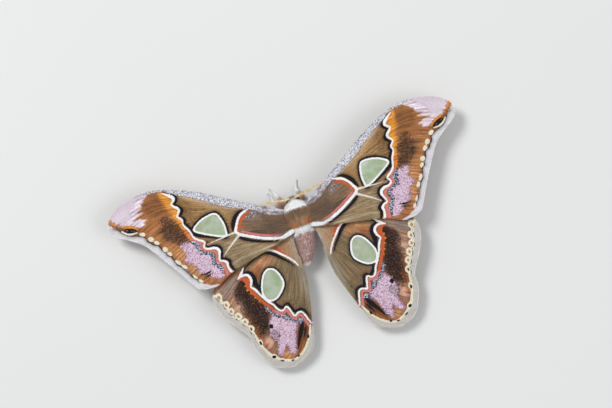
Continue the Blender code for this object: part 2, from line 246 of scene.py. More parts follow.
class Ink(Enum):
    """The colours that a wing's crisp marks are painted in, from the lowest to the top."""

    AMBER = "amber"
    EMBER = "ember"
    ROSE = "rose"
    BLACK = "black"
    CREAM = "cream"
    TAN = "tan"
    PALE = "pale"
    WHITE = "white"
    DOT = "dot"


INK_TONES = {
    Ink.AMBER: tone(214, 138, 52),
    Ink.EMBER: tone(202, 92, 48),
    Ink.ROSE: tone(216, 122, 118),
    Ink.TAN: tone(188, 142, 104),
    Ink.BLACK: tone(22, 20, 26),
    Ink.CREAM: tone(232, 226, 200),
    Ink.PALE: tone(226, 218, 206),
    Ink.WHITE: tone(250, 249, 250),
    Ink.DOT: tone(26, 20, 20),
}


class Dust(Enum):
    """Speckled dustings of scales that lie over a wing's plain tint."""

    SALT = "salt"
    PINK = "pink"
    BLUE = "blue"
    SOOT = "soot"
    BLOOM = "bloom"


@dataclass(frozen=True)
class Stroke:
    """A line of ink whose half width changes along it."""

    ink: Ink
    points: tuple[tuple[float, float, float], ...]

    def depth(self, plan: Points) -> Points:
        """How deep inside the stroke each plan point lies, negative outside."""
        away, ride = nearest(plan, smooth_line(self.points, 5))
        return ride[:, 0] - away


def oval_reach(plan: Points, centre: Span, radii: Span, turn: float) -> Points:
    """Distance from an oval's centre in shares of its radius, 1 on its edge.

    Args:
        plan: Plan points, one row each.
        centre: The oval's centre.
        radii: Its half length and half width.
        turn: Its turn in degrees.

    Returns:
        One share for each point.
    """
    angle = math.radians(turn)
    x, y = (plan - np.array(centre)).T
    along = (x * math.cos(angle) + y * math.sin(angle)) / radii[0]
    across = (y * math.cos(angle) - x * math.sin(angle)) / radii[1]
    return np.hypot(along, across)


@dataclass(frozen=True)
class Blot:
    """An oval of ink."""

    ink: Ink
    centre: Span
    radii: Span
    turn: float

    def depth(self, plan: Points) -> Points:
        """How deep inside the oval each plan point lies, negative outside."""
        reach = oval_reach(plan, self.centre, self.radii, self.turn)
        return (1.0 - reach) * min(self.radii)


def blots(ink: Ink, *rows: tuple[float, ...]) -> tuple[Blot, ...]:
    """Ovals of one ink, each row its centre, its two radii and its turn."""
    return tuple(Blot(ink, row[:2], row[2:4], row[4]) for row in rows)


@dataclass(frozen=True)
class Area:
    """A soft-edged patch of plain tint or of dusting, its edge drawn out along the veins."""

    points: tuple[Span, ...]
    soft: float
    tint: Colour | None = None
    dust: Dust | None = None
    strength: float = 1.0
    streak: float = 0.7

    def share(self, grid: PaintedPlan) -> Points:
        """How much of the patch shows at each vertex of a wing's grid, from 0 to 1."""
        loop = smooth_line(self.points, 4, closed=True)
        depth = inside_distance(grid.strayed(self.streak), loop)
        return smoothstep(-self.soft, self.soft, depth) * self.strength


@dataclass(frozen=True)
class Glow:
    """A round, soft patch of plain tint."""

    centre: Span
    radii: Span
    tint: Colour
    turn: float
    strength: float

    def share(self, grid: PaintedPlan) -> Points:
        """How much of the patch shows at each vertex of a wing's grid, from 0 to 1."""
        reach = oval_reach(grid.strayed(0.6), self.centre, self.radii, self.turn)
        return np.exp(-reach ** 2) * self.strength


@dataclass(frozen=True)
class Wash:
    """A soft line of plain tint whose half width changes along it."""

    points: tuple[tuple[float, float, float], ...]
    tint: Colour
    core: float = 0.5
    strength: float = 1.0

    def share(self, grid: PaintedPlan) -> Points:
        """How much of the wash shows at each vertex of a wing's grid, from 0 to 1."""
        away, ride = nearest(grid.strayed(0.3), smooth_line(self.points, 5))
        return smoothstep(-1.0, -self.core, -away / ride[:, 0]) * self.strength


@dataclass(frozen=True)
class Window:
    """A clear window: its outline along the outer side of the white ring."""

    outline: tuple[Span, ...]
    ring: float = 0.62
    edging: float = 0.75

    def loop(self) -> Points:
        """The outline as a dense closed curve."""
        return smooth_line(self.outline, 10, closed=True)


@dataclass(frozen=True)
class WingPlan:
    """One right wing in plan: its sides, veins, window, height and marks.

    A vein is its place from front to rear and the share of the wing where it starts.
    """

    front: tuple[Span, ...]
    outer: tuple[Span, ...]
    rear: tuple[Span, ...]
    veins: tuple[Span, ...]
    window: Window
    drop: float
    tail_drop: float
    base: Colour
    tints: tuple[Area | Glow | Wash, ...]
    dusts: tuple[Area, ...]
    marks: tuple[Stroke | Blot, ...]

    def height(self, x: Points, y: Points) -> Points:
        """Height of the wing's middle surface over the floor, in millimetres."""
        share = np.abs(x) / HALF_SPAN
        sheet = WING_LIFT + WING_ARCH * np.sin(np.pi * share) - WING_DROOP * share ** 2
        tail = np.clip((-TAIL_START - y) / TAIL_REACH, 0.0, 1.0)
        return sheet + 0.02 * y - self.drop - self.tail_drop * tail ** 2


FORE_MARGIN = (
    (61.2, 15.9), (59.6, 13.7), (57, 12.1), (55, 11.2), (53.4, 10.0), (51.4, 7.0), (49.8, 5.8),
    (48.4, 3.2), (46.6, 0.4), (45.2, -2.6), (43.6, -5.0), (41.8, -8.6), (40.2, -10.9), (38.2, -12.6),
    (36.2, -13.5), (34.2, -14.3), (38, -17), (46, -12), (56, 2), (68, 14), (64.5, 19.0), (63.0, 17.4))


FOREWING = WingPlan(
    front=(
        (3.2, 2.4), (10, 6.4), (20, 12.5), (30, 18.7), (40, 23.2), (48, 24.9), (56, 23.8), (60.5, 21.8),
        (63.5, 19.4)),
    outer=(
        (63.5, 19.4), (64.0, 17.2), (62.5, 13.9), (55, 8.6), (51.5, 4.2), (46, -4.6), (41.7, -12.1),
        (39.6, -13.7), (37.2, -14.3)),
    rear=(
        (3.0, -5.6), (6.2, -6.5), (10, -7.3), (20, -9.3), (28, -11.2), (34.4, -14.1), (37.2, -14.3)),
    veins=(
        (0.09, 0.0), (0.22, 0.42), (0.36, 0.42), (0.50, 0.42), (0.63, 0.0), (0.78, 0.30), (0.92, 0.0)),
    window=Window((
        (27.3, 10.0), (32.3, 9.5), (36.2, 6.9), (33.6, 4.4), (26.5, 0.9), (25.2, 3.2),
        (25.6, 7.4))),
    drop=0.0,
    tail_drop=0.0,
    base=tone(156, 120, 78),
    tints=(
        Area((
            (2, -1), (8, -0.5), (16, 1.5), (21.5, 1.0), (24, 0.6), (34.5, -0.2), (31, -1.5), (29.8, -6),
            (28.2, -10), (27, -13), (10, -8), (2, -5)), 0.6, tone(150, 127, 95)),
        Glow((36.4, 14.2), (2.2, 4.4), tone(122, 88, 54), 0, 0.75),
        Glow((30.6, 15.9), (5.4, 0.8), tone(188, 158, 120), 31, 0.6),
        Glow((24.5, 9.6), (1.6, 2.2), tone(178, 142, 100), 20, 0.6),
        Wash((
            (17, 8.0, 1.0), (22, 10.2, 2.0), (27, 13.0, 2.4), (32, 16.6, 2.0), (36, 19.2, 1.2)),
            tone(196, 166, 130), 0.0, 0.6),
        Wash((
            (11, -7.2, 0.4), (17, -7.6, 0.7), (23, -8.2, 0.7), (27.4, -9.2, 0.4)),
            tone(192, 174, 146), 0.1, 0.6),
        Wash((
            (17, -4.6, 0.3), (21, -4.6, 0.6), (26, -6.0, 0.6), (28.4, -7.0, 0.3)),
            tone(186, 166, 136), 0.1, 0.5),
        Area((
            (2, 3), (10, 6), (16, 7.4), (19.5, 5.6), (21.8, 1.6), (19.5, -0.9), (12, -4.7), (2, -6)),
            0.5, tone(120, 97, 74)),
        Glow((10, -1.5), (9, 2.6), tone(92, 74, 64), 8, 0.75),
        Glow((16, 3.5), (4, 2.2), tone(146, 122, 100), 20, 0.6),
        Glow((19.5, 1.6), (2.4, 1.0), tone(170, 120, 92), 20, 0.6),
        Area((
            (41.5, 23.5), (40, 18), (39, 12), (37.5, 6), (35, 0.5), (31, -3), (30, -7), (29, -13),
            (38, -16), (52, 0), (68, 16), (58, 28), (44, 27)), 0.3, tone(164, 108, 62)),
        Area((
            (41.5, 10.5), (44, 14.5), (46.5, 13), (48, 9), (45, 5), (41.5, 3.0), (38.8, 4.5), (39.8, 7.5)),
            1.9, tone(88, 66, 50), strength=0.86),
        Area((
            (43.4, 21.5), (45, 23.2), (48.5, 22.6), (50.5, 20.6), (49, 17), (47, 15.5), (43.2, 16.5)),
            1.2, tone(126, 82, 50), strength=0.75),
        Glow((47.5, 12.2), (2.6, 1.8), tone(170, 110, 70), 0, 0.7),
        Glow((43.6, 0.8), (2.4, 3.6), tone(190, 134, 86), -30, 0.85),
        Glow((40.6, -6.2), (1.7, 3.6), tone(196, 142, 98), -25, 0.9),
        Glow((36.6, -12.0), (3.0, 1.0), tone(176, 112, 72), -5, 0.9),
        Area((
            (46.5, 24.6), (48.6, 22.9), (50.8, 21.3), (50.6, 20.2), (53.6, 19.0), (51.0, 18.4),
            (54.2, 17.2), (51.8, 16.4), (50.6, 15.8), (52.6, 14.7), (51.6, 14.2), (54.4, 13.7),
            (56.0, 15.2), (58.8, 16.6), (60.6, 17.4), (62.6, 19.0), (65, 20), (62, 23), (56, 27),
            (48, 27)), 0.35, tone(222, 207, 217), streak=1.1),
        Wash((
            (43.2, 22.8, 0.9), (42.0, 20.7, 2.4), (41.2, 18.5, 2.5), (40.7, 16.5, 2.2), (40.2, 14.5, 1.9),
            (40.0, 12.5, 1.6), (39.5, 10.5, 1.5), (39.0, 8.3, 1.4), (38.3, 6.3, 1.2), (37.9, 4.4, 0.9)),
            tone(228, 150, 50), 0.1),
        Wash((
            (39.5, 8.3, 0.5), (38.5, 6.3, 0.8), (37.9, 4.4, 0.8), (36.7, 2.9, 0.7)),
            tone(214, 108, 62), 0.4, 0.8),
        Glow((57.0, 22.4), (4.5, 1.6), tone(214, 200, 212), -20, 0.8),
        Glow((54.6, 21.2), (2.0, 1.2), tone(214, 192, 206), -20, 0.7),
        Area(FORE_MARGIN, 0.2, tone(216, 213, 216), streak=0.25),
        Area((
            (64.2, 17.0), (62.9, 13.7), (55.5, 8.5), (52, 4.2), (46.4, -4.6), (42.1, -12.1),
            (39.8, -14.1), (37, -14.6), (40, -18), (56, -2), (70, 14)),
            0.7, tone(190, 182, 188), strength=0.7),
    ),
    dusts=(
        Area(FORE_MARGIN, 0.2, dust=Dust.BLOOM, streak=0.25),
        Area((
            (52, 23.6), (54.6, 20.4), (55.4, 17.6), (58.8, 17.4), (62.6, 19.4), (60, 25), (52, 26)),
            1.2, dust=Dust.BLOOM, strength=0.9),
        Area((
            (3, 1.4), (8, 2.5), (12, 5), (15.5, 7.2), (20, 9.3), (25, 12), (30.5, 16), (33.6, 17.9),
            (36.7, 19.8), (39.2, 21.2), (41.7, 22.9), (44.9, 23.6), (49, 24.4), (48, 27), (38, 25),
            (20, 15), (3, 5)), 0.45, dust=Dust.SALT),
        Area((
            (4.5, 0.6), (8, 0.9), (13, 2.4), (18.6, 5.4), (15.5, 7.2), (12, 5), (8, 2.5)),
            1.1, dust=Dust.SALT, strength=0.46),
        Area((
            (38.3, 3.2), (40.6, 3.9), (42.4, 3.3), (41.2, 0.8), (41.8, -0.8), (42.7, -2.6), (41.0, -3.8),
            (40.0, -5.0), (39.4, -7.6), (38.0, -8.8), (36, -9.6), (34.6, -11.6), (32.4, -12.4),
            (30.9, -11.4), (31.4, -8.6), (32.6, -6.0), (32.6, -3.4), (34.6, -1.9), (36.4, -0.4),
            (36.6, 1.6)), 1.1, dust=Dust.PINK),
        Area((
            (38.0, 3.6), (35.9, 1.8), (35.2, 0.7), (35.8, -0.5), (34.4, -1.8), (32.2, -2.7), (31.7, -4.6),
            (32.2, -6.2), (30.9, -7.6), (30.5, -9.4), (30.7, -11.4), (31.8, -10.0), (32.6, -8.2),
            (33.6, -6.2), (33.2, -3.8), (35.0, -2.8), (37.2, -1.2), (37.4, 1.0), (38.6, 2.6)),
            0.7, dust=Dust.BLUE),
        Area((
            (40.6, 12), (43.6, 15), (46.8, 13), (47, 8.4), (44, 4.0), (40.6, 2.6), (38.2, 3.4),
            (39.2, 6.8)), 1.2, dust=Dust.SOOT, strength=0.7),
        Area((
            (24, 12), (32, 14.5), (38, 16), (37, 10), (36.8, 8), (27, 12)),
            1.5, dust=Dust.SOOT, strength=0.35),
    ),
    marks=(
        Stroke(Ink.AMBER, ((59.6, 16.8, 0.12), (61.3, 17.5, 0.28), (62.5, 18.6, 0.36), (63.0, 19.6, 0.3))),
        Stroke(Ink.AMBER, ((54.4, 13.4, 0.3), (56.0, 14.7, 0.5), (57.6, 15.5, 0.5), (59.4, 16.0, 0.3))),
        Stroke(Ink.EMBER, (
            (15.4, 6.4, 0.2), (17.3, 6.0, 0.5), (18.6, 5.2, 0.55), (19.7, 4.0, 0.5), (20.6, 2.6, 0.45),
            (21.2, 1.3, 0.3))),
        Stroke(Ink.ROSE, (
            (20.4, 0.7, 0.35), (19, -0.1, 0.4), (17, -1.3, 0.38), (14.5, -2.6, 0.35), (11.5, -3.8, 0.32),
            (8, -4.6, 0.28), (6.6, -4.7, 0.2))),
        Stroke(Ink.ROSE, (
            (36.8, 3.4, 0.32), (35.4, 2.0, 0.40), (34.8, 1.0, 0.40), (35.6, -0.1, 0.40),
            (34.3, -1.4, 0.32), (32.5, -2.2, 0.36), (31.3, -3.2, 0.40), (31.4, -4.6, 0.40),
            (31.9, -5.9, 0.40), (30.9, -7.1, 0.40), (30.1, -8.2, 0.48), (30.1, -9.6, 0.52),
            (30.0, -10.9, 0.52), (29.9, -12.4, 0.40))),
        Stroke(Ink.BLACK, (
            (41.8, 22.4, 0.12), (40.2, 21.4, 0.2), (38.8, 20.5, 0.4), (38.0, 19.3, 0.45),
            (38.7, 18.2, 0.45), (39.5, 17.5, 0.4), (38.6, 16.6, 0.45), (37.8, 15.6, 0.5),
            (37.6, 14.6, 0.5), (38.5, 13.4, 0.5), (38.9, 12.7, 0.45), (38.0, 11.9, 0.45),
            (37.8, 10.9, 0.42), (38.1, 10.1, 0.42), (37.7, 9.1, 0.5), (37.0, 7.9, 0.5), (36.8, 6.9, 0.35),
            (36.4, 5.4, 0.3))),
        Stroke(Ink.BLACK, (
            (36.7, 5.2, 0.4), (35.0, 4.2, 0.42), (33.3, 3.4, 0.38), (31.6, 2.6, 0.32), (30.2, 1.9, 0.18))),
        Stroke(Ink.BLACK, (
            (33.0, 1.8, 0.12), (33.1, 0.9, 0.25), (33.7, 0.1, 0.2), (33.2, -0.5, 0.35),
            (31.6, -0.6, 0.42), (30.0, -1.2, 0.5), (29.1, -2.4, 0.5), (29.3, -3.8, 0.45),
            (29.9, -5.2, 0.42), (29.6, -6.0, 0.4), (28.5, -6.5, 0.45), (27.7, -7.5, 0.55),
            (27.9, -8.8, 0.5), (27.6, -10.0, 0.5), (27.1, -11.0, 0.35))),
        Stroke(Ink.BLACK, (
            (17.6, 7.9, 0.15), (19.3, 7.4, 0.5), (20.8, 6.3, 0.7), (22.0, 4.8, 0.75), (22.7, 3.3, 0.6),
            (23.2, 2.1, 0.25))),
        Stroke(Ink.BLACK, (
            (22.0, -0.9, 0.3), (20.6, -1.9, 0.55), (18.5, -3.2, 0.45), (16, -4.4, 0.42), (13, -5.6, 0.35),
            (10.5, -6.3, 0.3), (8.4, -6.7, 0.15))),
        Stroke(Ink.BLACK, ((34.4, -8.5, 0.1), (35.8, -8.9, 0.3), (37.4, -9.0, 0.2), (38.6, -8.8, 0.1))),
        Stroke(Ink.BLACK, ((34.6, -9.6, 0.1), (36.2, -9.9, 0.22), (37.6, -10.2, 0.08))),
        Stroke(Ink.BLACK, (
            (62.5, 16.4, 0.09), (61.1, 15.6, 0.15), (60.1, 14.2, 0.17), (58.5, 12.6, 0.13),
            (56.8, 11.8, 0.13), (55.4, 11.4, 0.19), (54.1, 10.7, 0.17), (53.1, 10.1, 0.11),
            (52.8, 8.8, 0.19), (51.8, 7.6, 0.15), (51.0, 6.5, 0.19), (49.5, 5.8, 0.15), (48.9, 4.2, 0.19),
            (48.0, 2.6, 0.11), (47.6, 1.4, 0.2), (46.6, 0.7, 0.17), (45.9, -1.6, 0.11),
            (45.4, -2.8, 0.19), (44.4, -3.8, 0.2), (43.8, -5.0, 0.13), (42.5, -7.4, 0.09),
            (41.8, -8.6, 0.19), (40.8, -9.6, 0.17), (40.1, -10.8, 0.11))),
        Stroke(Ink.CREAM, ((55.0, 12.5, 0.2), (57.0, 12.6, 0.28), (58.7, 13.3, 0.3), (60.1, 14.7, 0.22))),
        Stroke(Ink.PALE, ((21.8, -0.2, 0.45), (24, -1.6, 0.32), (26.5, -3.3, 0.26), (29.0, -5.2, 0.16))),
        Stroke(Ink.PALE, ((22.4, 1.3, 0.4), (25, 1.1, 0.28), (29, 0.8, 0.2), (33.6, 0.5, 0.1))),
        Stroke(Ink.WHITE, (
            (42.6, 22.8, 0.13), (41.0, 21.6, 0.37), (39.8, 20.6, 0.55), (39.0, 19.5, 0.48),
            (39.7, 18.5, 0.37), (40.5, 17.8, 0.26), (39.7, 16.7, 0.4), (38.8, 15.8, 0.44),
            (38.7, 14.9, 0.42), (39.5, 13.8, 0.32), (39.9, 13.0, 0.25), (39.1, 12.1, 0.35),
            (38.7, 11.2, 0.33), (39.0, 10.2, 0.25), (38.7, 9.2, 0.28), (38.0, 8.0, 0.28),
            (37.5, 6.8, 0.3), (37.2, 5.4, 0.3), (36.8, 4.2, 0.32), (35.5, 2.9, 0.32), (34.3, 2.1, 0.32),
            (33.8, 1.3, 0.3), (34.4, 0.5, 0.28), (34.5, -0.4, 0.28), (33.3, -1.1, 0.35),
            (31.6, -1.4, 0.48), (30.4, -2.1, 0.46), (30.0, -3.1, 0.44), (30.4, -4.3, 0.37),
            (30.9, -5.6, 0.3), (30.8, -6.4, 0.28), (29.6, -6.9, 0.37), (28.8, -7.8, 0.42),
            (28.9, -8.9, 0.37), (28.8, -10.0, 0.4), (28.4, -11.2, 0.44), (27.6, -12.4, 0.44))),
        Stroke(Ink.WHITE, (
            (15.6, 7.4, 0.15), (16.9, 7.1, 0.36), (18.3, 6.7, 0.42), (19.6, 5.8, 0.42), (20.8, 4.4, 0.4),
            (21.6, 2.9, 0.42), (22.3, 1.5, 0.5), (22.0, 0.6, 0.5), (21.0, -0.2, 0.5), (19.6, -1.0, 0.48),
            (17.5, -2.2, 0.48), (15, -3.5, 0.48), (12, -4.75, 0.52), (9.5, -5.45, 0.55),
            (7.2, -5.75, 0.55), (5.4, -5.6, 0.6), (4.0, -5.2, 0.7), (3.2, -5.0, 0.7))),
        *blots(Ink.BLACK, (57.1, 13.9, 2.3, 0.85, 20)),
        *blots(Ink.TAN, (56.2, 13.5, 0.5, 0.1, 22), (58.3, 14.4, 0.4, 0.08, 24)),
        *blots(Ink.CREAM,
               (53.5, 11.3, 1.05, 0.72, 25), (51.2, 8.7, 1.05, 0.85, 40), (49.7, 6.9, 1.0, 0.7, 45),
               (47.7, 3.7, 0.95, 0.85, 50), (46.7, 1.7, 0.9, 0.6, 50), (44.8, -2.2, 1.3, 0.6, 55),
               (43.3, -4.3, 1.1, 0.6, 50), (41.0, -8.8, 1.2, 0.4, 60), (39.6, -10.8, 0.9, 0.5, 50)),
    ),
)

HIND_MARGIN = (
    (38.2, -14.6), (36.6, -17.6), (35.4, -20.6), (34.6, -23.8), (33.0, -26.4), (31.2, -29.2),
    (30.3, -32.4), (29.9, -35.5), (29.2, -38.8), (27.8, -42.2), (25.6, -44.8), (23.1, -46.5),
    (20.4, -47.4), (17.4, -46.7), (14.8, -44.8), (12.4, -42.2), (10.8, -39.4), (9.4, -38.6), (14, -54),
    (30, -54), (44, -30), (42, -14))


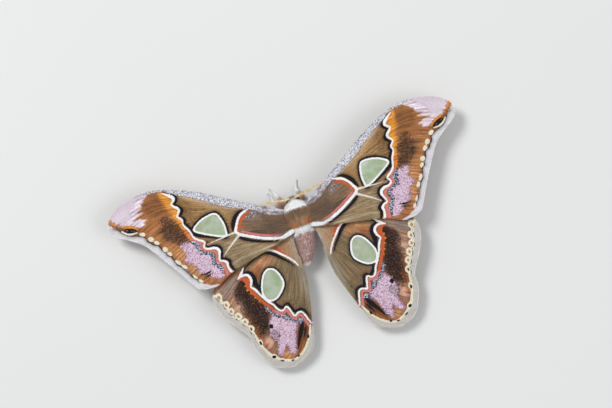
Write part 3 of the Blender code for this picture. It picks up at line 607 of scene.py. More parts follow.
HINDWING = WingPlan(
    front=(
        (3.2, -1.2), (12, -3.6), (25, -7.2), (33, -10.6), (37.4, -14.0)),
    outer=(
        (37.4, -14.0), (38.5, -18.3), (36.8, -24.4), (31.7, -33.0), (31.1, -38.6), (28.1, -45.6),
        (24.4, -48.4), (20.5, -49.3)),
    rear=(
        (3.2, -4.6), (4.7, -10.2), (5.6, -23.0), (9.1, -35.0), (11.9, -44.0), (15.4, -47.6),
        (20.5, -49.3)),
    veins=(
        (0.10, 0.0), (0.24, 0.36), (0.38, 0.36), (0.52, 0.36), (0.65, 0.0), (0.79, 0.28), (0.92, 0.0)),
    window=Window((
        (16.8, -13.9), (19.6, -15.9), (21.8, -20.8), (20.9, -24.5), (17.2, -24.7), (13.3, -20.8),
        (14.1, -15.6)), edging=0.6),
    drop=1.5,
    tail_drop=3.0,
    base=tone(128, 108, 78),
    tints=(
        Area(((4, -6), (10, -8), (14, -8.5), (9, -13), (6, -18), (3, -16)), 0.8, tone(172, 140, 108)),
        Glow((4.6, -10), (0.9, 6.0), tone(182, 170, 152), 4, 0.9),
        Glow((8.6, -9.4), (1.3, 2.2), tone(182, 128, 92), -40, 0.8),
        Glow((17.5, -11.3), (4.8, 2.0), tone(206, 146, 102), -10, 0.95),
        Glow((20.5, -13.8), (1.6, 2.6), tone(160, 92, 54), 20, 0.9),
        Glow((6.3, -24), (1.8, 9.0), tone(146, 136, 120), 4, 0.9),
        Glow((11.5, -26), (1.6, 6.0), tone(128, 106, 82), 18, 0.7),
        Glow((16.2, -27), (2.2, 1.3), tone(130, 96, 66), 0, 0.7),
        Area((
            (24, -12.5), (24.4, -17), (22.4, -22), (19.6, -26.5), (16.5, -29.5), (14.5, -32.5),
            (10.8, -34), (9.6, -38), (14, -52), (30, -52), (42, -30), (42, -12), (30, -10)),
            0.35, tone(138, 88, 58)),
        Area((
            (25.4, -13.4), (28.5, -15), (31.5, -18.6), (30.4, -22.4), (29.4, -27.4), (28.4, -32.6),
            (26.8, -35.2), (24.8, -34.4), (23.2, -30.4), (22.4, -26.8), (24.2, -22.6), (25.4, -18.4)),
            1.1, tone(46, 37, 34), strength=0.96),
        Glow((31.8, -22.6), (1.8, 4.2), tone(200, 160, 132), -8, 0.9),
        Area((
            (28.0, -12.0), (38, -15.4), (35.4, -18.4), (32.4, -18.0), (28.6, -14.6)),
            0.9, tone(150, 130, 116), strength=0.9),
        Glow((26.2, -38.2), (1.7, 2.7), tone(208, 166, 144), 10, 0.95),
        Glow((28.2, -36.4), (0.9, 4.4), tone(164, 98, 54), 0, 0.9),
        Glow((21.6, -44.4), (2.4, 1.5), tone(206, 148, 92), 0, 0.95),
        Glow((15.8, -42.4), (1.3, 3.4), tone(146, 88, 40), 35, 0.95),
        Area(HIND_MARGIN, 0.3, tone(196, 190, 184), streak=0.3),
    ),
    dusts=(
        Area(HIND_MARGIN, 0.3, dust=Dust.BLOOM, streak=0.3),
        Area((
            (20.6, -29.4), (22.4, -30.2), (24.0, -32.0), (24.6, -35.0), (24.8, -37.0), (23.6, -39.6),
            (24.6, -42.0), (24.4, -44.4), (22.6, -43.4), (21.0, -41.4), (20.4, -44.8), (18.9, -45.2),
            (17.2, -41.4), (15.6, -37.6), (14.2, -35.4), (15.8, -33.4), (18.2, -32.4)),
            1.2, dust=Dust.PINK),
        Area((
            (22.2, -25.4), (22.9, -27.2), (21.6, -29.0), (20.6, -30.4), (18.8, -32.2), (16.2, -33.8),
            (14.6, -35.4), (12.6, -36.2), (11.7, -35.0), (12.6, -34.0), (14.6, -34.2), (15.6, -32.2),
            (17.6, -30.8), (19.8, -29.4), (21.4, -27.4)), 0.7, dust=Dust.BLUE),
        Area((
            (25.0, -13.6), (29.6, -16), (31.4, -20), (29.8, -29), (27.6, -35.6), (24.6, -35.0),
            (22.6, -28), (24.6, -20)), 1.2, dust=Dust.SOOT, strength=0.9),
        Area((
            (21.6, -34.6), (24.8, -35.0), (24.8, -38.6), (22.6, -38.8), (21.4, -36.6)),
            0.6, dust=Dust.SOOT, strength=0.8),
        Area(((8, -27), (13, -26), (16, -28), (14, -31), (9.8, -33)), 1.2, dust=Dust.SOOT, strength=0.35),
    ),
    marks=(
        Stroke(Ink.EMBER, (
            (27.4, -13.7, 0.3), (26.2, -13.8, 0.7), (25.2, -14.8, 0.95), (25.0, -15.8, 0.9),
            (25.4, -17.2, 0.65), (25.1, -18.6, 0.6), (24.4, -20.2, 0.6), (23.8, -21.8, 0.6),
            (23.0, -23.4, 0.55), (22.1, -25.0, 0.55), (21.2, -26.6, 0.5), (20.4, -28.2, 0.4))),
        Stroke(Ink.EMBER, (
            (12.6, -7.4, 0.4), (11.4, -8.5, 0.7), (10.4, -9.8, 0.65), (9.4, -11.3, 0.42),
            (8.2, -12.6, 0.2))),
        Stroke(Ink.ROSE, (
            (20.2, -28.4, 0.3), (19.2, -29.4, 0.45), (18.2, -30.3, 0.42), (17.0, -30.2, 0.45),
            (16.1, -29.9, 0.42), (15.7, -31.2, 0.38), (15.2, -33.0, 0.38), (14.4, -33.8, 0.4),
            (13.3, -33.2, 0.4), (12.3, -33.2, 0.42), (11.8, -34.6, 0.36), (11.2, -36.6, 0.45),
            (11.0, -38.0, 0.5))),
        Stroke(Ink.BLACK, (
            (24.9, -12.0, 0.3), (23.5, -12.6, 0.6), (22.6, -13.8, 0.72), (22.4, -15.4, 0.75),
            (22.7, -17.0, 0.85), (22.3, -18.7, 0.65), (21.9, -20.3, 0.4), (21.7, -21.4, 0.15))),
        Stroke(Ink.BLACK, (
            (18.9, -25.8, 0.25), (18.6, -26.8, 0.42), (17.9, -27.8, 0.5), (16.9, -28.4, 0.4),
            (15.8, -27.8, 0.35), (14.8, -28.0, 0.35), (14.3, -29.2, 0.42), (13.9, -30.8, 0.48),
            (13.4, -31.5, 0.48), (12.0, -31.3, 0.45), (10.6, -31.9, 0.42), (10.0, -33.4, 0.3),
            (9.6, -35.2, 0.15))),
        Stroke(Ink.BLACK, (
            (15.0, -8.7, 0.3), (13.6, -9.4, 0.6), (12.2, -10.6, 0.6), (11.0, -12.1, 0.45),
            (9.8, -13.5, 0.34), (8.7, -14.9, 0.24), (7.7, -16.4, 0.12))),
        Stroke(Ink.BLACK, (
            (15.4, -8.5, 0.2), (17.6, -8.5, 0.26), (20.4, -9.2, 0.2), (23, -10.3, 0.22),
            (25.2, -11.6, 0.3))),
        Stroke(Ink.BLACK, (
            (12.5, -35.8, 0.3), (13.6, -37.6, 0.75), (14.8, -39.4, 0.7), (16.2, -41.6, 0.45),
            (17.6, -44.2, 0.15))),
        Stroke(Ink.BLACK, ((12.4, -38.0, 0.2), (13.2, -39.6, 0.3), (14.2, -41.4, 0.12))),
        Stroke(Ink.CREAM, (
            (38.0, -15.4, 0.4), (36.5, -17.6, 0.6), (35.4, -20.4, 0.5), (34.6, -23.6, 0.5),
            (33.0, -26.2, 0.5), (31.3, -29.0, 0.5), (30.1, -32.2, 0.42), (29.6, -35.4, 0.45),
            (28.9, -38.6, 0.42), (27.6, -41.9, 0.5), (25.4, -44.5, 0.52), (23.0, -46.2, 0.46),
            (20.4, -47.1, 0.42), (17.6, -46.4, 0.46), (15.0, -44.6, 0.42), (12.7, -42.0, 0.4),
            (11.3, -39.5, 0.36), (10.4, -37.8, 0.2))),
        Stroke(Ink.WHITE, (
            (24.6, -10.5, 0.25), (25.6, -11.6, 0.38), (26.8, -12.7, 0.38), (27.8, -13.4, 0.2))),
        Stroke(Ink.WHITE, (
            (27.4, -13.2, 0.2), (26.2, -12.9, 0.33), (25.0, -12.9, 0.41), (23.9, -13.6, 0.45),
            (23.5, -14.9, 0.45), (23.9, -16.3, 0.39), (24.6, -17.5, 0.3), (24.0, -18.4, 0.34),
            (23.3, -19.6, 0.37), (22.7, -21.2, 0.34), (21.9, -23.0, 0.34), (21.0, -24.6, 0.34),
            (20.1, -25.8, 0.33), (19.5, -26.8, 0.33), (19.1, -27.9, 0.33), (18.2, -29.2, 0.31),
            (17.1, -29.4, 0.3), (15.9, -28.7, 0.3), (15.2, -29.5, 0.31), (14.8, -31.2, 0.31),
            (14.3, -32.8, 0.28), (13.3, -32.4, 0.3), (12.1, -32.2, 0.31), (11.2, -32.9, 0.3),
            (10.7, -34.4, 0.31), (10.3, -36.0, 0.31), (9.9, -37.5, 0.2))),
        Stroke(Ink.WHITE, (
            (14.8, -7.7, 0.25), (13.2, -8.4, 0.34), (11.9, -9.4, 0.36), (10.6, -10.8, 0.36),
            (9.3, -12.2, 0.33), (8.1, -13.7, 0.34), (7.1, -15.2, 0.31), (6.3, -17.0, 0.2))),
        Stroke(Ink.DOT, (
            (37.7, -16.0, 0.06), (36.9, -17.9, 0.15), (36.0, -18.7, 0.06), (36.0, -20.9, 0.14),
            (35.1, -21.8, 0.06), (35.0, -23.8, 0.15), (33.9, -24.6, 0.06), (33.4, -26.6, 0.15),
            (32.3, -27.4, 0.06), (32.0, -29.2, 0.15), (31.0, -30.2, 0.06), (30.8, -32.4, 0.16),
            (30.1, -33.6, 0.05), (30.1, -35.2, 0.1))),
        *blots(Ink.BLACK, (23.3, -33.1, 0.75, 0.85, 0)),
        *blots(Ink.AMBER,
               (26.0, -16.6, 0.5, 0.36, 20), (26.1, -18.2, 0.45, 0.4, -10), (25.4, -19.7, 0.4, 0.34, 30),
               (24.6, -21.6, 0.4, 0.34, 0), (23.8, -23.4, 0.36, 0.3, 10)),
        *blots(Ink.CREAM,
               (36.4, -16.6, 1.25, 1.45, 0), (34.9, -20.0, 1.1, 1.35, 0), (34.2, -22.8, 1.1, 1.3, -10),
               (32.5, -25.4, 1.15, 1.35, -25), (31.1, -28.1, 1.1, 1.3, -25), (30.0, -31.1, 1.0, 1.3, -10),
               (28.9, -36.9, 0.75, 1.1, 0), (26.4, -43.3, 1.0, 0.9, 30)),
        *blots(Ink.TAN,
               (36.4, -16.8, 0.55, 0.7, 0), (35.0, -20.2, 0.45, 0.65, 0), (34.3, -22.9, 0.45, 0.6, -10),
               (32.6, -25.5, 0.45, 0.6, -25), (31.2, -28.1, 0.45, 0.5, -25),
               (30.1, -31.1, 0.4, 0.55, -10)),
        *blots(Ink.DOT,
               (29.0, -37.2, 0.42, 0.75, 0), (26.5, -43.5, 0.75, 0.55, 20), (24.4, -45.8, 0.75, 0.3, 30),
               (20.9, -47.1, 0.65, 0.32, 0), (18.4, -46.4, 0.55, 0.38, -20), (12.7, -41.3, 0.4, 0.75, 20),
               (30.2, -31.4, 0.28, 0.55, 0)),
    ),
)


class Net:
    """A node tree that grows by expressions."""

    def __init__(self, tree: bpy.types.NodeTree) -> None:
        """Wrap a tree that exists already."""
        self.tree = tree

    def feed(self, socket: bpy.types.NodeSocket, value: Source) -> None:
        """Link a signal to a socket, or set the socket's own value."""
        if isinstance(value, Signal):
            self.tree.links.new(value.socket, socket)
        else:
            socket.default_value = value

    def make(self, kind: str, values: dict | None = None, settings: dict | None = None,
             out: int | str = 0) -> Signal:
        """Add a node to the tree.

        Args:
            kind: The node's type.
            values: Values or signals for its sockets, by name or number.
            settings: The node's own settings, which are set first.
            out: The output that is wanted.

        Returns:
            That output.
        """
        node = self.tree.nodes.new(kind)
        for name, value in (settings or {}).items():
            setattr(node, name, value)
        for key, value in (values or {}).items():
            self.feed(node.inputs[key], value)
        return Signal(self, node.outputs[out])

    def attribute(self, name: str, out: str = "Fac") -> Signal:
        """A field that the mesh carries."""
        return self.make("ShaderNodeAttribute", settings={"attribute_name": name}, out=out)

    def place(self) -> Signal:
        """The surface's own place, in the object's metres."""
        return self.make("ShaderNodeTexCoord", out="Object")

    def stretched(self, vector: Signal, sizes: tuple[float, float, float]) -> Signal:
        """A vector multiplied axis by axis."""
        return self.make("ShaderNodeVectorMath", {0: vector, 1: sizes},
                         {"operation": "MULTIPLY"})

    def noise(self, vector: Signal, scale: float, detail: float = 2.0) -> Signal:
        """Noise from about 0.3 to 0.7, its grains about 1 / scale across."""
        return self.make("ShaderNodeTexNoise",
                         {"Vector": vector, "Scale": scale, "Detail": detail})

    def mix(self, share: Source, first: Source, second: Source) -> Signal:
        """Two colours mixed by a share of the second."""
        first, second = (c if isinstance(c, Signal) else (*c, 1.0) for c in (first, second))
        return self.make("ShaderNodeMix", {0: share, 6: first, 7: second},
                         {"data_type": "RGBA"}, out=2)

    def lit(self, colour: Signal, level: Source) -> Signal:
        """A colour made lighter or darker."""
        return self.make("ShaderNodeVectorMath", {0: colour, "Scale": level},
                         {"operation": "SCALE"})

    def bumped(self, height: Signal, depth: float, strength: float) -> Signal:
        """A normal from a height whose full range is depth metres."""
        return self.make("ShaderNodeBump",
                         {"Height": height, "Distance": depth, "Strength": strength})


@dataclass(frozen=True)
class Signal:
    """A socket's value; arithmetic on it adds Math nodes."""

    net: Net
    socket: bpy.types.NodeSocket

    def _math(self, operation: str, first: Source, second: Source) -> Signal:
        """A Math node on two values."""
        return self.net.make("ShaderNodeMath", {0: first, 1: second}, {"operation": operation})

    def __add__(self, other: Source) -> Signal:
        """The sum."""
        return self._math("ADD", self, other)

    __radd__ = __add__

    def __sub__(self, other: Source) -> Signal:
        """The difference."""
        return self._math("SUBTRACT", self, other)

    def __rsub__(self, other: Source) -> Signal:
        """The difference, the other way round."""
        return self._math("SUBTRACT", other, self)

    def __mul__(self, other: Source) -> Signal:
        """The product."""
        return self._math("MULTIPLY", self, other)

    __rmul__ = __mul__

    def between(self, low: float, high: float, start: float = 0.0, end: float = 1.0) -> Signal:
        """A smooth rise from start to end as the value goes from low to high."""
        return self.net.make("ShaderNodeMapRange",
                             {"Value": self, "From Min": low, "From Max": high,
                              "To Min": start, "To Max": end},
                             {"interpolation_type": "SMOOTHSTEP"})


# what can feed a socket: a signal, a value of its own, or a thing that it points to
Source = Signal | float | Sequence[float] | bpy.types.ID


@dataclass(frozen=True)
class Finish:
    """A surface finish; each kind paints its own nodes."""

    name: str
    roughness: float = 0.7
    coat: float = 0.0
    alpha: float = 1.0
    specular: float = 0.5

    def paint(self, net: Net) -> dict[str, Signal]:
        """The signals that vary over the surface, by the shader's socket.

        Args:
            net: The material's tree.

        Returns:
            Signals by the name of the socket that they feed.
        """
        raise NotImplementedError

    def material(self) -> bpy.types.Material:
        """Make the finish's material."""
        made = bpy.data.materials.new(self.name)
        made.use_nodes = True
        shader = made.node_tree.nodes["Principled BSDF"]
        constants = {"Roughness": self.roughness, "Coat Weight": self.coat,
                     "Alpha": self.alpha, "Specular IOR Level": self.specular}
        for socket, value in constants.items():
            shader.inputs[socket].default_value = value
        net = Net(made.node_tree)
        for socket, signal in self.paint(net).items():
            net.feed(shader.inputs[socket], signal)
        return made


@dataclass(frozen=True)
class WingScales(Finish):
    """Powdery scales on a wing, painted from the fields that its mesh carries."""

    edge: float = 0.05
    ragged: float = 0.34
    under_tone: Colour = tone(196, 172, 152)
    patch_scale: float = 160.0
    grain_scale: float = 1500.0
    speck_scale: float = 2400.0
    fine_scale: float = 7000.0

    def paint(self, net: Net) -> dict[str, Signal]:
        """Tint, dustings and inks over one another, then the scales' own grain."""
        flow = net.attribute("flow", "Vector")
        place = net.place()
        streak = net.noise(net.stretched(flow, (0.1, 1.5, 1.0)), 1.0, 2.0)
        strand = net.noise(net.stretched(flow, (0.4, 4.5, 1.0)), 1.0, 2.0)
        patch = net.noise(place, self.patch_scale, 2.0)
        fine = net.noise(place, self.fine_scale, 1.0)
        grain = net.noise(place, self.grain_scale, 1.0) + (fine - 0.5) * 0.45
        speck = net.noise(place, self.speck_scale, 1.0) + (fine - 0.5) * 0.6
        scales = net.noise(net.stretched(flow, (5.0, 11.0, 1.0)), 1.0, 2.0)
        colour = net.attribute("tint", "Color")
        for noise, spread in ((streak, (0.36, 0.64, 0.73, 1.28)), (strand, (0.3, 0.7, 0.78, 1.2)),
                              (patch, (0.3, 0.7, 0.92, 1.08)), (speck, (0.3, 0.7, 0.84, 1.16))):
            colour = net.lit(colour, noise.between(*spread))
        for dust, painter in ((Dust.BLOOM, self._bloom), (Dust.SALT, self._salt),
                              (Dust.PINK, self._pink), (Dust.SOOT, self._soot),
                              (Dust.BLUE, self._blue)):
            share = net.attribute(dust.value) + (grain - 0.5) * 1.3
            depth = speck + net.attribute(dust.value).between(0.45, 1.0, -0.15, 0.02)
            colour = net.mix(share.between(0.4, 0.6), colour, painter(net, colour, depth))
        wander = (grain - 0.5) * self.ragged + (scales - 0.5) * 0.3
        for ink in Ink:
            field = net.attribute(ink.value) + wander
            inked = net.mix(speck.between(0.35, 0.65), self._shade(ink, 0.86),
                            self._shade(ink, 1.08))
            colour = net.mix(field.between(-self.edge, self.edge), colour, inked)
        colour = net.lit(colour, scales.between(0.3, 0.7, 0.9, 1.08))
        colour = net.mix(net.attribute("under") * 0.45, colour, self.under_tone)
        relief = scales * 0.6 + strand * 0.8
        return {"Base Color": colour, "Normal": net.bumped(relief, 0.00012, 0.35)}

    def _shade(self, ink: Ink, level: float) -> Colour:
        """An ink's tone, lighter or darker, never over white."""
        return tuple(min(channel * level, 0.96) for channel in INK_TONES[ink])

    def _soot(self, net: Net, colour: Signal, speck: Signal) -> Signal:
        """Dark scales strewn over the tint."""
        dark = net.lit(colour, speck.between(0.4, 0.6, 0.42, 0.95))
        return net.mix(speck.between(0.6, 0.72, 0.0, 0.6), dark, tone(150, 94, 62))

    def _bloom(self, net: Net, colour: Signal, speck: Signal) -> Signal:
        """The plain tint again, even and finely powdered."""
        return net.lit(net.attribute("tint", "Color"), speck.between(0.3, 0.6, 0.86, 1.04))

    def _salt(self, net: Net, colour: Signal, speck: Signal) -> Signal:
        """Grey scales with white and near-black ones among them."""
        grey = net.mix(speck.between(0.36, 0.46), tone(104, 102, 116), tone(188, 186, 194))
        return net.mix(speck.between(0.5, 0.64), grey, tone(234, 234, 240))

    def _pink(self, net: Net, colour: Signal, speck: Signal) -> Signal:
        """Pinkish mauve with white and dark scales among them."""
        mauve = net.mix(speck.between(0.34, 0.46), tone(124, 94, 118), tone(212, 178, 198))
        return net.mix(speck.between(0.52, 0.68), mauve, tone(230, 210, 224))

    def _blue(self, net: Net, colour: Signal, speck: Signal) -> Signal:
        """Blue-grey scales strewn on black and mauve."""
        blue = net.mix(speck.between(0.44, 0.5), tone(30, 30, 42), tone(120, 138, 160))
        return net.mix(speck.between(0.53, 0.6), blue, tone(206, 210, 224))


@dataclass(frozen=True)
class WindowFilm(Finish):
    """The clear, slightly milky film of a window, painted green for leaf light seen through it."""

    # painted light: a green that stands for a leaf seen through the film, which itself is near colourless
    tint: Colour = tone(184, 210, 160)

    def paint(self, net: Net) -> dict[str, Signal]:
        """Faint clouds and fine wrinkles."""
        place = net.place()
        clouds = net.noise(place, 260.0, 3.0)
        wrinkles = net.noise(net.stretched(place, (1.0, 0.35, 1.0)), 1400.0, 2.0)
        # the painted green of leaf light, clouded with the film's own milky pale
        colour = net.mix(clouds.between(0.32, 0.68), self.tint, tone(222, 234, 212))
        return {"Base Color": colour, "Normal": net.bumped(wrinkles, 0.0001, 0.3)}


@dataclass(frozen=True)
class Skin(Finish):
    """The dull skin under a coat, in the coat's own markings."""

    level: float = 0.85

    def paint(self, net: Net) -> dict[str, Signal]:
        """The coat's tint, darker, with a fine grain."""
        place = net.place()
        grain = net.noise(place, 2600.0, 2.0)
        colour = net.lit(net.attribute("tint", "Color"),
                         grain.between(0.3, 0.7, self.level * 0.8, self.level * 1.2))
        return {"Base Color": colour, "Normal": net.bumped(grain, 0.00008, 0.4)}


@dataclass(frozen=True)
class Hair(Finish):
    """Tufts in the tint of their roots, with painted shade down in the coat."""

    def paint(self, net: Net) -> dict[str, Signal]:
        """Each tuft a little lighter or darker than the next, with painted shade towards its root."""
        along = net.attribute("along")
        chance = net.attribute("chance")
        # painted shade: darker towards a tuft's root, a little lighter at its tip; chance varies each tuft
        level = along.between(0.0, 0.7, 0.86, 1.06) * chance.between(0.0, 1.0, 0.86, 1.12)
        return {"Base Color": net.lit(net.attribute("tint", "Color"), level)}


@dataclass(frozen=True)
class EyeGloss(Finish):
    """A compound eye: near-black facets under a gloss."""

    facets: float = 5200.0

    def paint(self, net: Net) -> dict[str, Signal]:
        """Close-set facets with a faint brown between them."""
        place = net.place()
        cell = net.make("ShaderNodeTexVoronoi", {"Vector": place, "Scale": self.facets},
                        out="Distance")
        colour = net.mix(cell.between(0.3, 0.6), tone(26, 19, 16), tone(54, 39, 30))
        return {"Base Color": colour, "Normal": net.bumped(1.0 - cell, 0.00005, 0.5)}


@dataclass(frozen=True)
class Cuticle(Finish):
    """Horny skin of a feeler or a claw: a tone with paler and darker clouds."""

    tint: Colour = tone(236, 220, 168)
    dark: Colour = tone(208, 182, 128)

    def paint(self, net: Net) -> dict[str, Signal]:
        """Clouds of the two tones and a fine bump."""
        place = net.place()
        clouds = net.noise(place, 900.0, 3.0)
        colour = net.mix(clouds.between(0.35, 0.65), self.dark, self.tint)
        return {"Base Color": colour, "Normal": net.bumped(clouds, 0.00006, 0.4)}


@dataclass(frozen=True)
class Paper(Finish):
    """The plain pale floor."""

    def paint(self, net: Net) -> dict[str, Signal]:
        """An even pale grey with the faintest mottling."""
        place = net.place()
        clouds = net.noise(place, 4.0, 2.0)
        return {"Base Color": net.mix(clouds, tone(226, 226, 224), tone(232, 232, 230))}


def mesh_from(name: str, points: Points, faces: Rows) -> bpy.types.Mesh:
    """A smooth mesh from points of the moth's own plan and height.

    Args:
        name: The mesh's name.
        points: One row of x, y and z for each vertex, in millimetres.
        faces: Lists of vertex numbers.

    Returns:
        The mesh, in the frame's metres.
    """
    mesh = bpy.data.meshes.new(name)
    placed = (np.asarray(points) + (0.0, THORAX_Y, 0.0)) * MM
    placed[:, 2] = np.maximum(placed[:, 2], 0.0)
    mesh.from_pydata(placed.tolist(), [], faces)
    mesh.update()
    mesh.shade_smooth()
    return mesh


FIELD_KEYS = {"FLOAT": "value", "FLOAT_VECTOR": "vector", "FLOAT_COLOR": "color"}


def write_field(mesh: bpy.types.Mesh, name: str, values: Points, kind: str = "FLOAT") -> None:
    """Store one value for each vertex of a mesh as a named attribute."""
    values = np.asarray(values, np.float32)
    if kind == "FLOAT_COLOR":
        values = np.column_stack([values, np.ones(len(values), np.float32)])
    layer = mesh.attributes.new(name, kind, "POINT")
    layer.data.foreach_set(FIELD_KEYS[kind], np.ascontiguousarray(values).ravel())


def read_field(mesh: bpy.types.Mesh, name: str, kind: str, width: int) -> Points:
    """Read a named attribute back, one row for each vertex."""
    values = np.empty(len(mesh.vertices) * width, np.float32)
    mesh.attributes[name].data.foreach_get(FIELD_KEYS[kind], values)
    return values.reshape(-1, width)


def places_of(mesh: bpy.types.Mesh) -> tuple[Points, Points]:
    """Each vertex's place in the moth's own millimetres, and its normal."""
    count = len(mesh.vertices) * 3
    places, normals = np.empty(count, np.float32), np.empty(count, np.float32)
    mesh.vertices.foreach_get("co", places)
    mesh.vertices.foreach_get("normal", normals)
    return places.reshape(-1, 3) / MM - (0.0, THORAX_Y, 0.0), normals.reshape(-1, 3)


def put(name: str, data: bpy.types.ID) -> bpy.types.Object:
    """A new object, linked to the scene."""
    made = bpy.data.objects.new(name, data)
    bpy.context.scene.collection.objects.link(made)
    return made


def settle(name: str, mesh: bpy.types.Mesh, material: bpy.types.Material,
           nodes: tuple[str, ...] = ()) -> bpy.types.Object:
    """Link a finished piece, let it ride on the moth and report it.

    Args:
        name: The piece's name.
        mesh: Its mesh.
        material: Its material.
        nodes: The frame's nodes that it stands for.

    Returns:
        The piece.
    """
    mesh.materials.clear()
    mesh.materials.append(material)
    piece = put(name, mesh)
    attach(piece, "root")
    if nodes:
        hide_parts(*nodes)
    LOG.info("%s: %d faces", name, len(mesh.polygons))
    return piece


class Scatter(Enum):
    """Where tufts take root."""

    FACES = "faces"
    POINTS = "points"


@dataclass
class Coat:
    """Tufts set by Geometry Nodes on a mesh that carries their lie, reach and tint.

    The mesh's fields are lie, the way a tuft points; reach, its length in metres; cover,
    the share of the full density; tint; and root_uv, its root's place on the skin's unwrap.
    """

    name: str
    scatter: Scatter = Scatter.FACES
    density: float = 4.0e7
    thickness: float = 0.07
    spread: float = 0.22
    roof: float = 0.26
    seed: int = 7
    patch: float = 0.003

    def _tuft(self) -> bpy.types.Object:
        """One tuft: a slender roofed blade of unit length, its ridge up, and its fields."""
        ring = ((-0.5, 0.0), (0.5, 0.0), (0.0, self.roof))
        points = [(girth * x, girth * y, height)
                  for height, girth in ((0.0, 0.7), (0.45, 1.0)) for x, y in ring]
        points.append((0.0, 0.0, 1.0))
        faces = [(2, 1, 0)]
        for k in range(3):
            after = (k + 1) % 3
            faces += [(k, after, after + 3, k + 3), (k + 3, after + 3, 6)]
        mesh = bpy.data.meshes.new(f"{self.name}_tuft")
        mesh.from_pydata(points, [], faces)
        mesh.shade_flat()
        write_field(mesh, "along", [height for _, _, height in points])
        write_field(mesh, "girdle", np.array([k % 3 for k in range(6)] + [1]) / 2.0)
        return put(f"{self.name}_tuft", mesh)

    def _tree(self) -> bpy.types.NodeTree:
        """The tree that sets tufts on a mesh."""
        tree = bpy.data.node_groups.new(f"{self.name}_tufts", "GeometryNodeTree")
        for name, kind in (("Geometry", "Geometry"), ("Tuft", "Object"), ("Density", "Float"),
                           ("Thickness", "Float"), ("Spread", "Float"), ("Seed", "Int"),
                           ("Material", "Material")):
            tree.interface.new_socket(name, in_out="INPUT", socket_type=f"NodeSocket{kind}")
        tree.interface.new_socket("Geometry", in_out="OUTPUT",
                                  socket_type="NodeSocketGeometry")
        net = Net(tree)
        entry = tree.nodes.new("NodeGroupInput")
        given = {socket.name: Signal(net, socket) for socket in entry.outputs if socket.name}

        def named(name: str, kind: str) -> Signal:
            """A field of the mesh."""
            return net.make("GeometryNodeInputNamedAttribute", {"Name": name},
                            {"data_type": kind})

        def chance(low: float, high: float, salt: int) -> Signal:
            """A random number for each tuft, its own for each salt."""
            return net.make("FunctionNodeRandomValue",
                            {2: low, 3: high, "ID": net.make("GeometryNodeInputIndex"),
                             "Seed": given["Seed"] + salt}, {"data_type": "FLOAT"}, out=1)

        if self.scatter is Scatter.FACES:
            roots = net.make("GeometryNodeDistributePointsOnFaces",
                             {"Mesh": given["Geometry"],
                              "Density": given["Density"] * named("cover", "FLOAT"),
                              "Seed": given["Seed"]})
            normal = Signal(net, roots.socket.node.outputs["Normal"])
        else:
            roots = net.make("GeometryNodeMeshToPoints", {"Mesh": given["Geometry"]})
            normal = named("upward", "FLOAT_VECTOR")
        stray = net.make("FunctionNodeRandomValue",
                         {0: (-1.0, -1.0, -1.0), 1: (1.0, 1.0, 1.0),
                          "ID": net.make("GeometryNodeInputIndex"), "Seed": given["Seed"]},
                         {"data_type": "FLOAT_VECTOR"})
        stray = net.make("ShaderNodeVectorMath", {0: stray, "Scale": given["Spread"]},
                         {"operation": "SCALE"})
        heading = net.make("ShaderNodeVectorMath",
                           {0: named("lie", "FLOAT_VECTOR"), 1: stray}, {"operation": "ADD"})
        turn = net.make("FunctionNodeAlignRotationToVector", {"Vector": heading},
                        {"axis": "Z"})
        turn = net.make("FunctionNodeAlignRotationToVector",
                        {"Rotation": turn, "Vector": normal},
                        {"axis": "Y", "pivot_axis": "Z"})
        width = given["Thickness"] * chance(0.7, 1.35, 1)
        length = named("reach", "FLOAT") * chance(0.65, 1.2, 2)
        size = net.make("ShaderNodeCombineXYZ", {0: width, 1: width, 2: length})
        roots = net.make("GeometryNodeStoreNamedAttribute",
                         {"Geometry": roots, "Name": "chance", "Value": chance(0.0, 1.0, 3)},
                         {"data_type": "FLOAT", "domain": "POINT"})
        pattern = net.make("GeometryNodeObjectInfo", {"Object": given["Tuft"]}, out="Geometry")
        tufts = net.make("GeometryNodeInstanceOnPoints",
                         {"Points": roots, "Instance": pattern, "Rotation": turn,
                          "Scale": size})
        tufts = net.make("GeometryNodeRealizeInstances", {"Geometry": tufts})
        tufts = net.make("GeometryNodeSetMaterial",
                         {"Geometry": tufts, "Material": given["Material"]})
        leave = tree.nodes.new("NodeGroupOutput")
        tree.links.new(tufts.socket, leave.inputs[0])
        return tree

    def grow(self, mesh: bpy.types.Mesh, material: bpy.types.Material) -> bpy.types.Mesh:
        """Set the tufts on a mesh that carries their fields.

        Args:
            mesh: The mesh that they take root in.
            material: The tufts' material.

        Returns:
            A mesh of all the tufts, with the OFBake map.
        """
        tree, tuft = self._tree(), self._tuft()
        ground = put(f"{self.name}_ground", mesh)
        modifier = ground.modifiers.new("tufts", "NODES")
        modifier.node_group = tree
        inputs = {"Tuft": tuft, "Density": self.density, "Thickness": self.thickness * MM,
                  "Spread": self.spread, "Seed": self.seed, "Material": material}
        for item in tree.interface.items_tree:
            if item.name in inputs:
                modifier[item.identifier] = inputs[item.name]
        graph = bpy.context.evaluated_depsgraph_get()
        made = bpy.data.meshes.new_from_object(ground.evaluated_get(graph),
                                               preserve_all_data_layers=True, depsgraph=graph)
        for scrap in (ground, tuft):
            bpy.data.objects.remove(scrap, do_unlink=True)
        made.name = self.name
        self._map(made)
        return made

    def _map(self, mesh: bpy.types.Mesh) -> None:
        """Give each tuft its own small patch of the map, at its root's place on the skin."""
        root = read_field(mesh, "root_uv", "FLOAT_VECTOR", 3)[:, :2]
        along = read_field(mesh, "along", "FLOAT", 1)
        girdle = read_field(mesh, "girdle", "FLOAT", 1)
        places = root + (np.hstack([girdle, along]) - 0.5) * self.patch
        corners = np.empty(len(mesh.loops), np.int32)
        mesh.loops.foreach_get("vertex_index", corners)
        layer = mesh.uv_layers.new(name="OFBake")
        layer.uv.foreach_set("vector", places[corners].astype(np.float32).ravel())


